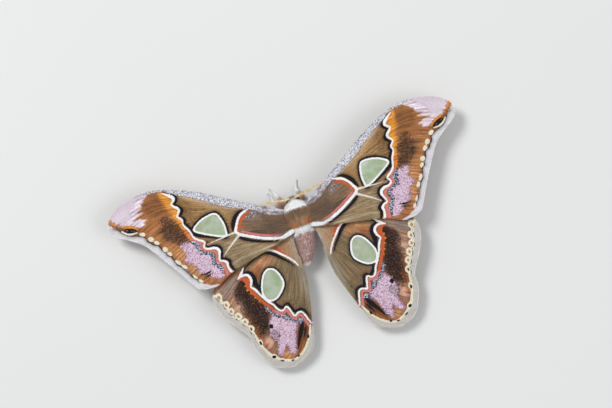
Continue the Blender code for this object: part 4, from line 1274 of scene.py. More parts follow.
class PaintedPlan:
    """A wing plan's fine grid, and on it the field of every mark."""

    def __init__(self, plan: WingPlan, rows: int, columns: int) -> None:
        """Lay out the grid and work out each field.

        Args:
            plan: The wing's plan.
            rows: Cells from root to tip.
            columns: Cells from front to rear.
        """
        self.plan = plan
        front, outer, rear = (smooth_line(side, 12)
                              for side in (plan.front, plan.outer, plan.rear))
        along = 1.0 - (1.0 - np.linspace(0.0, 1.0, rows + 1)) ** 1.15
        across = np.linspace(0.0, 1.0, columns + 1)
        front_row, rear_row = at_shares(front, along), at_shares(rear, along)
        end_row = at_shares(outer, across)
        u, v = along[:, None, None], across[None, :, None]
        root = (1 - v) * front_row[0] + v * rear_row[0]
        corners = (1 - u) * root + u * ((1 - v) * outer[0] + v * outer[-1])
        grid = ((1 - v) * front_row[:, None] + v * rear_row[:, None] + (1 - u) * root
                + u * end_row[None] - corners)
        self.shape = grid.shape[:2]
        self.width = np.linalg.norm(front_row - rear_row, axis=1)
        self.share = np.broadcast_to(u[..., 0], self.shape).ravel()
        self.place = np.broadcast_to(v[..., 0], self.shape).ravel()
        middle = np.linalg.norm(np.diff((front_row + rear_row) / 2, axis=0), axis=1)
        length = np.concatenate([[0.0], np.cumsum(middle)])
        self.flow = np.column_stack([np.repeat(length, self.shape[1]),
                                     self.place * self.width.max(),
                                     np.zeros(self.share.size)])
        self.points = grid.reshape(-1, 2)
        self.ahead = unit(np.gradient(grid, axis=0).reshape(-1, 2))
        self.strays = (0.7 * clouds(self.flow, (5.0, 0.9), 3)
                       + 0.5 * clouds(self.flow, (1.6, 0.6), 4)
                       + 0.4 * clouds(self.points, (0.6, 0.6), 5))
        self.quads = self._open_window()
        self.inks = self._ink_fields()
        self.dusts = self._dust_fields()
        self.tint = self._plain_tint()
        self.relief = self._relief()

    def strayed(self, reach: float) -> Points:
        """The grid's points, each moved up to about reach along its vein."""
        return self.points + self.ahead * (self.strays * reach)[:, None]

    def _open_window(self) -> Points:
        """Leave out the window's cells, and draw the hole's edge to its outline."""
        window = self.plan.window
        loop = window.loop()
        depth = inside_distance(self.points, loop)
        self.outside = -depth
        hole = depth > window.ring
        columns = self.shape[1]
        first = (np.arange(self.shape[0] - 1)[:, None] * columns
                 + np.arange(columns - 1)[None]).ravel()
        quads = np.column_stack([first, first + 1, first + columns + 1, first + columns])
        quads = quads[~hole[quads].all(axis=1)]
        rim = np.intersect1d(np.unique(quads), np.flatnonzero(hole))
        away, foot = nearest(self.points[rim], np.hstack([loop, loop]))
        pull = (self.points[rim] - foot) / away[:, None]
        self.points[rim] = foot + pull * window.ring
        self.outside[rim] = -window.ring
        return quads

    def _ink_fields(self) -> dict[Ink, Points]:
        """How deep in each ink every vertex lies."""
        fields = {ink: np.full(len(self.points), -2.0) for ink in Ink}
        for mark in self.plan.marks:
            fields[mark.ink] = np.maximum(fields[mark.ink], mark.depth(self.points))
        edging = self.plan.window.edging / 2
        inner = self.plan.window.ring / 2
        fields[Ink.WHITE] = np.maximum(fields[Ink.WHITE],
                                       inner + 0.04 - np.abs(self.outside + inner))
        fields[Ink.BLACK] = np.maximum(fields[Ink.BLACK],
                                       edging - np.abs(self.outside - edging))
        return {ink: np.clip(values, -2.0, 2.0) for ink, values in fields.items()}

    def _dust_fields(self) -> dict[Dust, Points]:
        """The share of each dusting at every vertex."""
        fields = {dust: np.zeros(len(self.points)) for dust in Dust}
        for area in self.plan.dusts:
            fields[area.dust] = np.maximum(fields[area.dust], area.share(self))
        return fields

    def _plain_tint(self) -> Points:
        """The wing's plain colour at every vertex."""
        tint = np.tile(np.array(self.plan.base), (len(self.points), 1))
        for patch in self.plan.tints:
            tint = blend(tint, patch.tint, patch.share(self))
        shade = 0.45 * smoothstep(-1.1, 0.1, self.inks[Ink.BLACK])
        return tint * (1 - shade[:, None])

    def _relief(self) -> Points:
        """Height of veins over the membrane and its sag between them, in millimetres."""
        width = np.repeat(self.width, self.shape[1])
        ridge = np.zeros(len(self.points))
        near = np.full(len(self.points), 9.0)
        for place, start in ((0.0, 0.0), *self.plan.veins, (1.0, 0.0)):
            away = np.abs(self.place - place) * width
            grown = smoothstep(start - 0.02, start + 0.06, self.share)
            extra = FRONT_VEIN_EXTRA if place == 0.0 else 0.0
            tall = VEIN_HEIGHT - VEIN_TAPER * self.share + extra
            ridge = np.maximum(ridge, tall * grown * np.exp(-(away / VEIN_WIDTH) ** 2))
            near = np.minimum(near, np.where(grown > 0.5, away, 9.0))
        sag = SAG_DEPTH * smoothstep(0.2, 2.6, near) * smoothstep(0.0, 0.15, self.share)
        return ridge - sag * smoothstep(0.0, 1.2, self.outside + 0.6)

    def shown(self) -> Points:
        """The colour that shows at every vertex, marks included."""
        colour = self.tint.copy()
        salt = smoothstep(-0.25, 0.25, clouds(self.points, (0.42, 0.42), 21))
        salt = blend(tone(118, 108, 112), tone(226, 222, 230), salt)
        salted = self.dusts[Dust.SALT] > 0.5
        colour[salted] = salt[salted]
        colour[self.dusts[Dust.PINK] > 0.5] = tone(202, 166, 186)
        for ink, depth in self.inks.items():
            colour[depth > 0.0] = INK_TONES[ink]
        return colour


def packed(quads: Points) -> tuple[Points, Points]:
    """The vertices that some faces use, and the faces renumbered to those alone."""
    used, numbers = np.unique(quads, return_inverse=True)
    return used, numbers.reshape(quads.shape)


def ring_quads(rings: int, sides: int) -> list[tuple[int, ...]]:
    """Faces between closed rings of points that follow one another."""
    faces = []
    for ring in range(rings - 1):
        for k in range(sides):
            a, b = ring * sides + k, ring * sides + (k + 1) % sides
            faces.append((a, b, b + sides, a + sides))
    return faces


@dataclass
class Wing:
    """One wing: a thin shell with raised veins, an open window and painted scales."""

    name: str
    painted: PaintedPlan
    side: int
    turn: float = 0.0
    hinge: Span = (4.0, -5.0)
    thickness: float = 0.2
    film_thickness: float = 0.08

    def lay(self, plan: Points) -> Points:
        """Turn plan points about the wing's root and bring them to its side."""
        angle = math.radians(-self.turn)
        away = plan[:, :2] - self.hinge
        x = self.hinge[0] + away[:, 0] * math.cos(angle) - away[:, 1] * math.sin(angle)
        y = self.hinge[1] + away[:, 0] * math.sin(angle) + away[:, 1] * math.cos(angle)
        return np.column_stack([self.side * x, y, self.painted.plan.height(x, y)])

    def faces(self, quads: Points) -> Points:
        """Quads that face up on this wing's side."""
        return quads if self.side > 0 else quads[:, ::-1]

    def membrane(self) -> bpy.types.Mesh:
        """The wing's closed shell with every field on it."""
        painted = self.painted
        used, quads = packed(painted.quads)
        middle = self.lay(painted.points[used])
        relief = painted.relief[used]
        half = self.thickness / 2
        upper = middle + np.outer(relief + half, UP)
        lower = middle + np.outer(np.minimum(relief, 0) - half - 0.8 * np.maximum(relief, 0), UP)
        top = self.faces(quads)
        count = len(used)
        steps = np.concatenate([top[:, [i, (i + 1) % 4]] for i in range(4)])
        keys = steps[:, 0] * count + steps[:, 1]
        rim = steps[~np.isin(keys, steps[:, 1] * count + steps[:, 0])]
        walls = np.column_stack([rim[:, 1], rim[:, 0], rim[:, 0] + count, rim[:, 1] + count])
        shell = np.concatenate([top, top[:, ::-1] + count, walls])
        mesh = mesh_from(self.name, np.concatenate([upper, lower]), shell.tolist())
        for mark, values in (*painted.inks.items(), *painted.dusts.items()):
            write_field(mesh, mark.value, np.tile(values[used], 2))
        write_field(mesh, "tint", np.tile(painted.tint[used], (2, 1)), "FLOAT_COLOR")
        write_field(mesh, "flow", np.tile(painted.flow[used], (2, 1)), "FLOAT_VECTOR")
        write_field(mesh, "under", np.repeat((0.0, 1.0), count))
        return mesh

    def film(self) -> bpy.types.Mesh:
        """The window's film: a thin closed disc that dips a little and is finely pleated."""
        window = self.painted.plan.window
        loop = window.loop()[:-1]
        centre = loop.mean(axis=0)
        ahead = np.roll(loop, -1, axis=0) - np.roll(loop, 1, axis=0)
        inward = unit(np.column_stack([-ahead[:, 1], ahead[:, 0]]))
        inward *= np.sign(((centre - loop) * inward).sum(axis=1))[:, None]
        rim = loop + inward * (window.ring - 0.15)
        rings = 22
        levels = np.linspace(1.0, 0.0, rings + 1)[:-1]
        plan = np.concatenate([centre + (rim - centre) * level for level in levels]
                              + [centre[None]])
        level = np.concatenate([np.repeat(levels, len(loop)), [0.0]])
        middle = self.lay(plan)
        pleat = 0.05 * np.sin(plan[:, 0] * 2.1 + plan[:, 1] * 1.3) * (1 - level ** 3)
        middle[:, 2] += pleat - 0.14 * (1 - level ** 2)
        size = len(loop)
        faces = ring_quads(rings, size)
        last = (rings - 1) * size
        faces += [(last + k, last + (k + 1) % size, len(plan) - 1) for k in range(size)]
        count = len(plan)
        under = [tuple(i + count for i in reversed(face)) for face in faces]
        walls = [((k + 1) % size, k, k + count, (k + 1) % size + count) for k in range(size)]
        lift = UP * self.film_thickness / 2
        mesh = mesh_from(f"{self.name}_film", np.concatenate([middle + lift, middle - lift]),
                         faces + under + walls)
        turn_outwards(mesh)
        return mesh

    def fringe(self) -> bpy.types.Mesh:
        """Roots of the short scales that stand out along the outer edges."""
        painted = self.painted
        rows, columns = painted.shape
        number = np.arange(rows * columns).reshape(rows, columns)
        edge = np.concatenate([number[-1, :], number[rows // 6:, -1][::-1]])
        inner = np.concatenate([number[-2, :], number[rows // 6:, -2][::-1]])
        ends, starts = self.lay(painted.points[edge]), self.lay(painted.points[inner])
        colour = painted.shown()[edge]
        known = np.hstack([ends, ends - starts, colour, painted.flow[edge][:, :2]])
        line = at_shares(np.hstack([ends, known]), np.linspace(0, 1, 1700))[:, 3:]
        outward = unit(line[:, 3:6] * (1, 1, 0))
        mesh = mesh_from(f"{self.name}_fringe_roots", line[:, :3] - outward * 0.12, [])
        write_roots(mesh, outward, np.full(len(line), 0.55), line[:, 6:9],
                    line[:, 9:11] / 80.0 + 0.1)
        return mesh

    def basal(self, reach: float, far: float) -> bpy.types.Mesh:
        """Roots of the long hair that lies out from the body over the wing's base.

        Args:
            reach: Longest tuft, in millimetres.
            far: How far from the root the hair goes, in millimetres.

        Returns:
            A mesh of faces on the wing's base, with the tufts' fields.
        """
        painted = self.painted
        near = (painted.flow[:, 0] < far) & (painted.points[:, 0] > 2.6)
        used, quads = packed(painted.quads[near[painted.quads].all(axis=1)])
        places = self.lay(painted.points[used]) + UP * self.thickness / 2
        grid = self.lay(painted.points).reshape(*painted.shape, 3)
        ways = unit(np.gradient(grid, axis=0).reshape(-1, 3)[used]) + UP * 0.08
        share = 1.0 - painted.flow[used, 0] / far
        mesh = mesh_from(f"{self.name}_hair_roots", places, self.faces(quads).tolist())
        locks = 1 + 0.26 * clouds(painted.flow[used], (3.5, 0.5), 13)
        write_roots(mesh, ways, reach * (0.35 + 0.65 * share),
                    np.clip(painted.shown()[used] * locks[:, None], 0.0, 0.97),
                    painted.flow[used][:, :2] / 80.0 + 0.1, np.clip(share * 1.4, 0, 1))
        return mesh


# how much a coat's tint is raised against the shade inside it
COAT_GAIN = 1.6


def write_roots(mesh: bpy.types.Mesh, lie: Points, reach: Points, tint: Points,
                root_uv: Points, cover: Points | None = None) -> None:
    """Give a mesh the fields that a coat takes root by.

    A coat shades itself, so its tint is raised to look as asked from above.

    Args:
        mesh: The mesh.
        lie: The way each root's tuft points.
        reach: Each tuft's length in millimetres.
        tint: Each tuft's colour.
        root_uv: Each root's place on the skin's unwrap.
        cover: The share of the full density, 1 where it is left out.
    """
    count = len(mesh.vertices)
    tint = np.minimum(1.0 - (1.0 - tint) ** COAT_GAIN, 0.97)
    write_field(mesh, "lie", unit(lie), "FLOAT_VECTOR")
    write_field(mesh, "upward", np.tile(UP, (count, 1)), "FLOAT_VECTOR")
    write_field(mesh, "reach", reach * MM)
    write_field(mesh, "tint", tint, "FLOAT_COLOR")
    write_field(mesh, "cover", np.ones(count) if cover is None else cover)
    write_field(mesh, "root_uv", np.column_stack([root_uv, np.zeros(count)]), "FLOAT_VECTOR")


def turn_outwards(mesh: bpy.types.Mesh) -> None:
    """Turn a closed mesh's faces outwards."""
    shape = bmesh.new()
    shape.from_mesh(mesh)
    bmesh.ops.recalc_face_normals(shape, faces=shape.faces)
    shape.to_mesh(mesh)
    shape.free()
    mesh.update()


def loft(name: str, path: Rows, widths: Sequence[float], heights: Sequence[float],
         rings: int = 60, sides: int = 32) -> bpy.types.Mesh:
    """A closed body of oval rings along a smooth path, with rounded ends.

    Args:
        name: The mesh's name.
        path: Centres along the body.
        widths: Half widths at those centres.
        heights: Half heights at those centres.
        rings: Rings along it.
        sides: Points round each ring.

    Returns:
        The mesh.
    """
    line = tapered(rings, path, widths, heights)
    ahead = unit(np.gradient(line[:, :3], axis=0))
    sideways = unit(np.cross(ahead, UP))
    upward = np.cross(sideways, ahead)
    turns = np.linspace(0.0, 2 * np.pi, sides, endpoint=False)
    points = (line[:, None, :3]
              + sideways[:, None] * (line[:, None, 3:4] * np.cos(turns)[None, :, None])
              + upward[:, None] * (line[:, None, 4:5] * np.sin(turns)[None, :, None]))
    points = points.reshape(-1, 3)
    ends = np.array([line[0, :3] - ahead[0] * line[0, 3] * 0.45,
                     line[-1, :3] + ahead[-1] * line[-1, 3] * 0.45])
    faces = ring_quads(rings, sides)
    last, start, finish = (rings - 1) * sides, len(points), len(points) + 1
    for k in range(sides):
        faces.append(((k + 1) % sides, k, start))
        faces.append((last + k, last + (k + 1) % sides, finish))
    mesh = mesh_from(name, np.concatenate([points, ends]), faces)
    turn_outwards(mesh)
    return mesh


def joined(name: str, meshes: list[bpy.types.Mesh]) -> bpy.types.Mesh:
    """Several meshes as one, each still its own shell."""
    shape = bmesh.new()
    for mesh in meshes:
        shape.from_mesh(mesh)
    made = bpy.data.meshes.new(name)
    shape.to_mesh(made)
    shape.free()
    made.shade_smooth()
    return made


def melted(mesh: bpy.types.Mesh, cell: float, rounds: int) -> bpy.types.Mesh:
    """The outer surface of overlapping shells as one smooth skin.

    Args:
        mesh: The shells.
        cell: Size of a cell of the new surface, in millimetres.
        rounds: How often it is smoothed.

    Returns:
        The skin.
    """
    lump = put("lump", mesh)
    remesh = lump.modifiers.new("skin", "REMESH")
    remesh.mode = "VOXEL"
    remesh.voxel_size = cell * MM
    smooth = lump.modifiers.new("smooth", "SMOOTH")
    smooth.factor = 0.5
    smooth.iterations = rounds
    graph = bpy.context.evaluated_depsgraph_get()
    made = bpy.data.meshes.new_from_object(lump.evaluated_get(graph), depsgraph=graph)
    bpy.data.objects.remove(lump, do_unlink=True)
    made.shade_smooth()
    return made


class BodyZones:
    """How much each vertex of the body's skin has of each zone of its coat.

    A smoothstep's two limits are where a zone starts and where it is full, in millimetres.
    """

    def __init__(self, skin: bpy.types.Mesh, axis: Points) -> None:
        """Work out every zone.

        Args:
            skin: The body's skin.
            axis: Centres along the abdomen, from front to rear.
        """
        self.places, self.normals = places_of(skin)
        x, y, z = self.places.T
        self.off = x - np.interp(-y, -axis[:, 1], axis[:, 0])
        rise = z - np.interp(-y, -axis[:, 1], axis[:, 2])
        self.angle = np.arctan2(self.off, rise) / (2 * np.pi) + 0.5
        self.upness = self.normals[:, 2]
        upper = self.upness > 0
        self.tail = smoothstep(5.6, 6.6, -y + 0.02 * x)
        self.tip = smoothstep(16.6, 17.4, -y)
        self.band = smoothstep(4.2, 4.6, -y + 0.03 * x * x) * smoothstep(6.6, 6.1, -y)
        self.head = smoothstep(6.9, 6.3, z) * smoothstep(3.2, 4.2, y)
        self.collar = smoothstep(2.25, 2.5, y) * smoothstep(5.9, 6.5, z) * (1 - self.head)
        self.flank = smoothstep(2.6, 4.6, np.abs(x)) * (1 - self.tail) * (1 - self.collar)
        self.rust = np.exp(-((np.abs(x) - 2.5) / 1.2) ** 2 - ((y + 2.7) / 1.0) ** 2) * upper
        self.middle = np.exp(-(x / 1.6) ** 2 - ((y + 2.0) / 1.8) ** 2) * upper
        self.nape = smoothstep(2.2, 0.8, np.abs(y - 1.2)) * smoothstep(4.4, 3.0, np.abs(x))


@dataclass
class Body:
    """Head, thorax and abdomen under one skin, and the coats on it."""

    inset: float = 0.45
    thorax_path: Rows = ((0, -5.6, 7.1), (0, -4.2, 7.4), (0, -2.0, 7.6), (0, 0.5, 7.7),
                         (0, 2.5, 8.0), (0, 3.8, 8.4), (0, 4.6, 8.5))
    thorax_widths: Sequence[float] = (3.1, 4.0, 4.8, 4.9, 4.4, 3.5, 2.2)
    thorax_heights: Sequence[float] = (3.3, 3.7, 4.3, 4.5, 3.9, 2.7, 1.7)
    abdomen_path: Rows = ((0, -3.6, 6.7), (-0.1, -6.6, 6.5), (-0.7, -10.5, 5.9),
                          (-1.8, -14.2, 5.1), (-2.8, -16.8, 4.4), (-3.3, -18.0, 4.1))
    abdomen_widths: Sequence[float] = (3.5, 3.95, 3.75, 3.05, 2.3, 1.45)
    abdomen_heights: Sequence[float] = (3.0, 3.5, 3.3, 2.7, 2.0, 1.3)
    head_centre: Sequence[float] = (0.0, 4.7, 5.3)
    head_sizes: Sequence[float] = (1.8, 1.85, 1.8)
    neck_path: Rows = ((0, 2.0, 6.6), (0, 3.4, 6.1), (0, 4.6, 5.6))
    neck_radii: Sequence[float] = (1.8, 1.5, 1.3)
    cell: float = 0.16
    smoothing: int = 12
    segment: float = 1.4
    white: Colour = tone(250, 249, 250)
    pile: Colour = tone(140, 108, 82)
    nape: Colour = tone(108, 87, 70)
    fawn: Colour = tone(160, 124, 96)
    rust: Colour = tone(190, 112, 56)
    mauve: Colour = tone(150, 116, 108)
    stain: Colour = tone(112, 72, 66)
    pale: Colour = tone(214, 200, 194)
    grey: Colour = tone(128, 112, 100)
    beneath: Colour = tone(176, 138, 120)

    def skin(self) -> bpy.types.Mesh:
        """One skin over the three parts of the body, with the coat's fields."""
        less = self.inset
        x, y, z = self.head_centre
        a, b, c = (size - less for size in self.head_sizes)
        steps = np.array((-0.9, -0.5, 0.0, 0.5, 0.9))
        rounds = np.sqrt(1 - steps * steps)
        lofts = [
            loft("thorax", self.thorax_path, np.array(self.thorax_widths) - less,
                 np.array(self.thorax_heights) - less),
            loft("abdomen", self.abdomen_path, np.array(self.abdomen_widths) - less,
                 np.array(self.abdomen_heights) - less),
            loft("head", [(x, y + b * step, z) for step in steps], a * rounds, c * rounds),
            loft("neck", self.neck_path, self.neck_radii, self.neck_radii),
        ]
        skin = melted(joined("shells", lofts), self.cell, self.smoothing)
        skin.name = "body_skin"
        axis = at_shares(smooth_line(self.abdomen_path), np.linspace(0, 1, 60))
        zones = BodyZones(skin, axis)
        root_uv = np.column_stack([zones.angle * 0.9 + 0.05, (zones.places[:, 1] + 20.0) / 30.0])
        write_roots(skin, self._lie(zones), self._reach(zones), self._tint(zones), root_uv)
        return skin

    def _tint(self, zones: BodyZones) -> Points:
        """Each zone's colour over the plain one, and the locks of the thorax."""
        x, y, _ = zones.places.T
        rings = 0.5 + 0.5 * np.cos(2 * np.pi * (y + 0.12 * zones.off) / self.segment)
        unrolled = np.column_stack([zones.angle * 22, y])
        spots = smoothstep(-0.05, 0.35, clouds(unrolled, (0.42, 0.34), 8))
        stains = smoothstep(0.1, 0.5, clouds(unrolled, (0.5, 0.4), 9))
        spine = np.exp(-(zones.off / 1.5) ** 2)
        flecks = spots * (0.28 + 0.3 * spine) * (0.3 + 0.7 * rings)
        side_bands = (smoothstep(0.3, 0.75, np.abs(zones.off) / 3.4)
                      * smoothstep(0.1, -0.5, zones.upness) * (rings > 0.55))
        tint = np.tile(np.array(self.pile), (len(zones.places), 1))
        for share, colour in (
                (zones.nape * 0.7, self.nape),
                (zones.middle * 0.8, self.fawn),
                (zones.rust, self.rust),
                (zones.tail, self.mauve),
                (zones.tail * stains * 0.6, self.stain),
                (zones.tail * flecks, self.pale),
                (zones.tail * side_bands, self.white),
                (zones.tip, self.pale),
                (zones.band, self.white),
                (smoothstep(0.0, -0.5, zones.upness) * (1 - zones.tail), self.beneath),
                (zones.head, self.grey),
                (zones.collar, self.white)):
            tint = blend(tint, colour, share)
        locks = clouds(np.column_stack([x - 0.12 * x * y, y]), (0.42, 2.2), 12)
        plain = (1 - zones.tail) * (1 - zones.collar) * (1 - zones.band)
        return tint * (1 + 0.3 * plain * locks)[:, None]

    def _lie(self, zones: BodyZones) -> Points:
        """The way each tuft points: backwards, out over the flanks, and a little up."""
        x, y, _ = zones.places.T
        normals = zones.normals
        lie = np.column_stack([0.22 * x / 4.0, -np.ones(len(x)),
                               0.8 * smoothstep(1.5, 4.0, y) - 0.1 * zones.upness])
        lie[:, 0] += zones.tail * -0.22 + zones.flank * 0.9 * np.sign(x)
        lie += zones.head[:, None] * (np.array([0.0, 2.2, -0.4]) - lie * 0.4)
        lie -= (lie * normals).sum(axis=1)[:, None] * normals
        lift = (0.16 - 0.1 * zones.tail - 0.08 * zones.collar + 0.02 * zones.band
                + 0.2 * zones.head)
        return unit(lie) + normals * lift[:, None]

    def _reach(self, zones: BodyZones) -> Points:
        """Each tuft's length: long on the thorax and its flanks, short elsewhere."""
        back = smoothstep(2.4, 3.6, -zones.places[:, 1]) * (1 - zones.tail)
        reach = 1.5 * (1 - zones.tail) + 0.62 * zones.tail
        reach = reach * (1 - zones.head * 0.45) - zones.collar * 0.4 + zones.flank * 0.7
        return reach * (1 - 0.5 * back) + zones.band * 0.9

    def part_of(self, skin: bpy.types.Mesh, name: str, low: float, high: float,
                ) -> bpy.types.Mesh:
        """A copy of the skin that has cover only between two places along the body."""
        part = skin.copy()
        part.name = name
        y = places_of(skin)[0][:, 1]
        part.attributes["cover"].data.foreach_set(
            "value", ((y >= low) & (y < high)).astype(np.float32))
        return part


@dataclass
class Eye:
    """A compound eye."""

    side: int
    centre: tuple[float, float, float] = (1.6, 5.1, 5.0)
    radius: float = 0.9

    def mesh(self) -> bpy.types.Mesh:
        """A fine ball, a little flattened towards the head."""
        shape = bmesh.new()
        bmesh.ops.create_uvsphere(shape, u_segments=48, v_segments=32, radius=self.radius * MM)
        x, y, z = self.centre
        for vert in shape.verts:
            vert.co.x *= 0.92
            vert.co += spot(self.side * x, y, z)
        made = bpy.data.meshes.new("eye")
        shape.to_mesh(made)
        shape.free()
        made.shade_smooth()
        return made


@dataclass
class Feeler:
    """A feathered feeler: a ringed shaft with two pairs of teeth on each segment."""

    side: int
    path: Rows = ((0.7, 5.5, 6.0), (1.5, 5.9, 7.4), (4.0, 6.2, 8.3), (7.0, 6.8, 9.4),
                  (10.0, 7.1, 10.5), (12.2, 7.3, 11.2))
    radii: Sequence[float] = (0.26, 0.22, 0.19, 0.16, 0.13, 0.07)
    segments: int = 56
    tooth: float = 0.9
    comb_turn: float = 24.0
    lean: float = 34.0
    tooth_tint: Colour = tone(196, 168, 104)

    def _line(self, count: int) -> Points:
        """Centres and radii along the shaft, on its side of the head."""
        return tapered(count, self.path, self.radii) * (self.side, 1, 1, 1)

    def shaft(self) -> bpy.types.Mesh:
        """The shaft, swollen at the end of each segment."""
        count = self.segments * 6 + 1
        line = self._line(count)
        place = np.linspace(0.0, self.segments, count) % 1.0
        swell = 1.0 + 0.16 * smoothstep(0.5, 0.9, place) * smoothstep(1.0, 0.95, place)
        girth = line[:, 3] * swell
        return loft(f"feeler_{self.side}", line[:, :3], girth, girth, count, 14)

    def teeth(self) -> bpy.types.Mesh:
        """Roots of the comb's teeth."""
        line = self._line(self.segments * 2 + 1)
        ahead = unit(np.gradient(line[:, :3], axis=0))
        level = unit(np.cross(ahead, UP))
        upward = np.cross(level, ahead)
        turn = math.radians(self.comb_turn)
        across = level * math.cos(turn) + upward * math.sin(turn) * self.side
        roots, ways, reach = [], [], []
        for i in range(3, len(line) - 2):
            share = i / (len(line) - 1)
            length = self.tooth * math.sin(math.pi * min(share * 1.06, 1.0)) ** 0.35
            for way in (-1, 1):
                forward = math.radians(self.lean if i % 2 else self.lean + 14)
                heading = across[i] * way * math.cos(forward) + ahead[i] * math.sin(forward)
                roots.append(line[i, :3] + across[i] * way * line[i, 3] * 0.5)
                ways.append(heading)
                reach.append(max(length, 0.4) * (1.0 if i % 2 else 0.72))
        mesh = mesh_from(f"feeler_{self.side}_tooth_roots", np.array(roots), [])
        count = len(roots)
        row = 0.6 if self.side > 0 else 0.3
        write_roots(mesh, np.array(ways), np.array(reach), np.tile(self.tooth_tint, (count, 1)),
                    np.column_stack([np.linspace(0.05, 0.95, count), np.full(count, row)]))
        return mesh


def ride_along(mesh: bpy.types.Mesh, path: Rows) -> tuple[Points, Points, Points]:
    """Where each vertex of a limb lies on it.

    Args:
        mesh: The limb's mesh.
        path: The limb's known centres.

    Returns:
        How far along the path each vertex lies, the way ahead there, and its place round the
        limb, from 0 to 1.
    """
    places, normals = places_of(mesh)
    line = smooth_line(path)
    best = np.argmin(((places[:, None] - line[None]) ** 2).sum(axis=2), axis=1)
    ahead = unit(np.gradient(line, axis=0))[best]
    ring = np.cross(ahead, normals)
    return (lengths_along(line)[best], ahead,
            np.arctan2(ring[:, 2], normals[:, 2]) / (2 * np.pi) + 0.5)


@dataclass
class Palp:
    """A short hairy palp that curves up in front of the face."""

    side: int
    path: Rows = ((0.45, 4.9, 3.9), (0.56, 5.8, 3.5), (0.6, 6.3, 3.8), (0.55, 6.5, 4.4))
    radii: Sequence[float] = (0.36, 0.38, 0.3, 0.16)

    def mesh(self) -> bpy.types.Mesh:
        """The palp's own form, with its coat's fields."""
        path = np.array(self.path) * (self.side, 1, 1)
        mesh = loft(f"palp_{self.side}", path, self.radii, self.radii, 30, 16)
        share, ahead, angle = ride_along(mesh, path)
        _, normals = places_of(mesh)
        tint = blend(tone(160, 128, 114), tone(218, 200, 190), smoothstep(0.4, 0.9, share))
        root_uv = np.column_stack([0.1 + 0.3 * angle + 0.4 * (self.side > 0),
                                   0.05 + share * 0.9])
        write_roots(mesh, ahead + normals * 0.35, 0.62 - 0.3 * share, tint, root_uv)
        return mesh


@dataclass
class Leg:
    """A leg: hip, thigh, shin and five foot segments that end in two claws."""

    name: str
    path: Rows
    radii: Sequence[float] = (0.68, 0.74, 0.52, 0.40, 0.31, 0.27, 0.22)
    joints: Sequence[float] = (0.18, 0.42)
    foot_start: float = 0.62

    def shaft(self) -> bpy.types.Mesh:
        """The leg's own form, waisted at its joints."""
        count = 90
        line = tapered(count, self.path, self.radii)
        share = np.linspace(0.0, 1.0, count)
        foot = smoothstep(self.foot_start - 0.03, self.foot_start + 0.03, share)
        joint = (share - self.foot_start) / (1.0 - self.foot_start) * 5.0 % 1.0
        waist = 1.0 - 0.26 * foot * np.exp(-(np.minimum(joint, 1 - joint) / 0.16) ** 2)
        for place in (*self.joints, self.foot_start):
            waist = waist * (1.0 - 0.22 * np.exp(-((share - place) / 0.018) ** 2))
        girth = line[:, 3] * waist
        line[:, 2] = np.maximum(line[:, 2], girth * 0.98)
        body = loft(self.name, line[:, :3], girth, girth, count, 14)
        ahead = unit(line[-1, :3] - line[-4, :3])
        claws = [self._claw(line[-1, :3], ahead, way) for way in (-1, 1)]
        return joined(self.name, [body, *claws])

    def _claw(self, root: Points, ahead: Points, way: int) -> bpy.types.Mesh:
        """A small hooked claw."""
        across = np.cross(ahead, UP) * way
        path = [root - ahead * 0.1 + across * 0.06,
                root + ahead * 0.22 + across * 0.15 + UP * 0.06,
                root + ahead * 0.4 + across * 0.2 - UP * 0.02]
        radii = (0.08, 0.06, 0.02)
        path = [(x, y, max(z, radii[0])) for x, y, z in path]
        return loft(f"{self.name}_claw", path, radii, radii, 10, 8)

    def write(self, mesh: bpy.types.Mesh, number: int) -> None:
        """Give the leg its tint and its coat's fields."""
        places, normals = places_of(mesh)
        share, ahead, angle = ride_along(mesh, self.path)
        tint = blend(tone(160, 124, 112), tone(250, 246, 248), smoothstep(0.4, 0.66, share))
        bare = share > 0.985
        tint[bare] = tone(206, 184, 168)
        root_uv = np.column_stack([(number + 0.1 + 0.8 * angle) / 6.0, share * 0.9 + 0.05])
        down = np.clip(-normals[:, 2], 0.0, 1.0) * smoothstep(1.4, 0.6, places[:, 2])
        lie = ahead + normals * (0.42 * (1 - down))[:, None] + np.outer(down * 0.3, UP)
        reach = (0.95 * (1 - share) + 0.34) * (1 - 0.5 * down)
        write_roots(mesh, lie, reach, tint, root_uv, np.where(bare | (down > 0.4), 0.0, 1.0))


def mirrored(path: Rows) -> Rows:
    """A path on the body's other side."""
    return tuple((-x, y, z) for x, y, z in path)


HIND_LEG = ((2.4, -2.6, 4.6), (5.6, -5.0, 4.7), (8.0, -8.6, 3.5), (8.9, -11.2, 2.0),
            (9.3, -13.0, 0.7), (9.6, -14.4, 0.18), (10.0, -15.8, 0.18))

LEG_PATHS = {
    "leg_front_left": ((-1.8, 2.2, 4.6), (-3.6, 4.8, 3.9), (-4.4, 7.0, 3.0),
                       (-4.9, 8.4, 1.8), (-5.4, 9.5, 0.7), (-5.9, 10.4, 0.18),
                       (-6.4, 11.4, 0.18)),
    "leg_front_right": ((1.8, 2.2, 4.6), (3.3, 4.8, 3.9), (3.0, 6.6, 3.0), (2.5, 8.0, 1.8),
                        (2.6, 9.2, 0.7), (3.0, 10.2, 0.18), (3.6, 11.2, 0.18)),
    "leg_mid_left": ((-2.5, 0.4, 4.8), (-4.6, 2.9, 4.7), (-5.8, 5.2, 3.4), (-6.4, 6.8, 1.9),
                     (-6.8, 8.0, 0.7), (-7.1, 9.0, 0.18), (-7.5, 10.0, 0.18)),
    "leg_mid_right": ((2.5, 0.2, 4.8), (5.2, 0.6, 4.9), (7.6, 1.6, 3.5), (8.9, 2.6, 1.9),
                      (9.8, 3.5, 0.7), (10.5, 4.3, 0.18), (11.2, 5.2, 0.18)),
    "leg_hind_left": mirrored(HIND_LEG),
    "leg_hind_right": HIND_LEG,
}


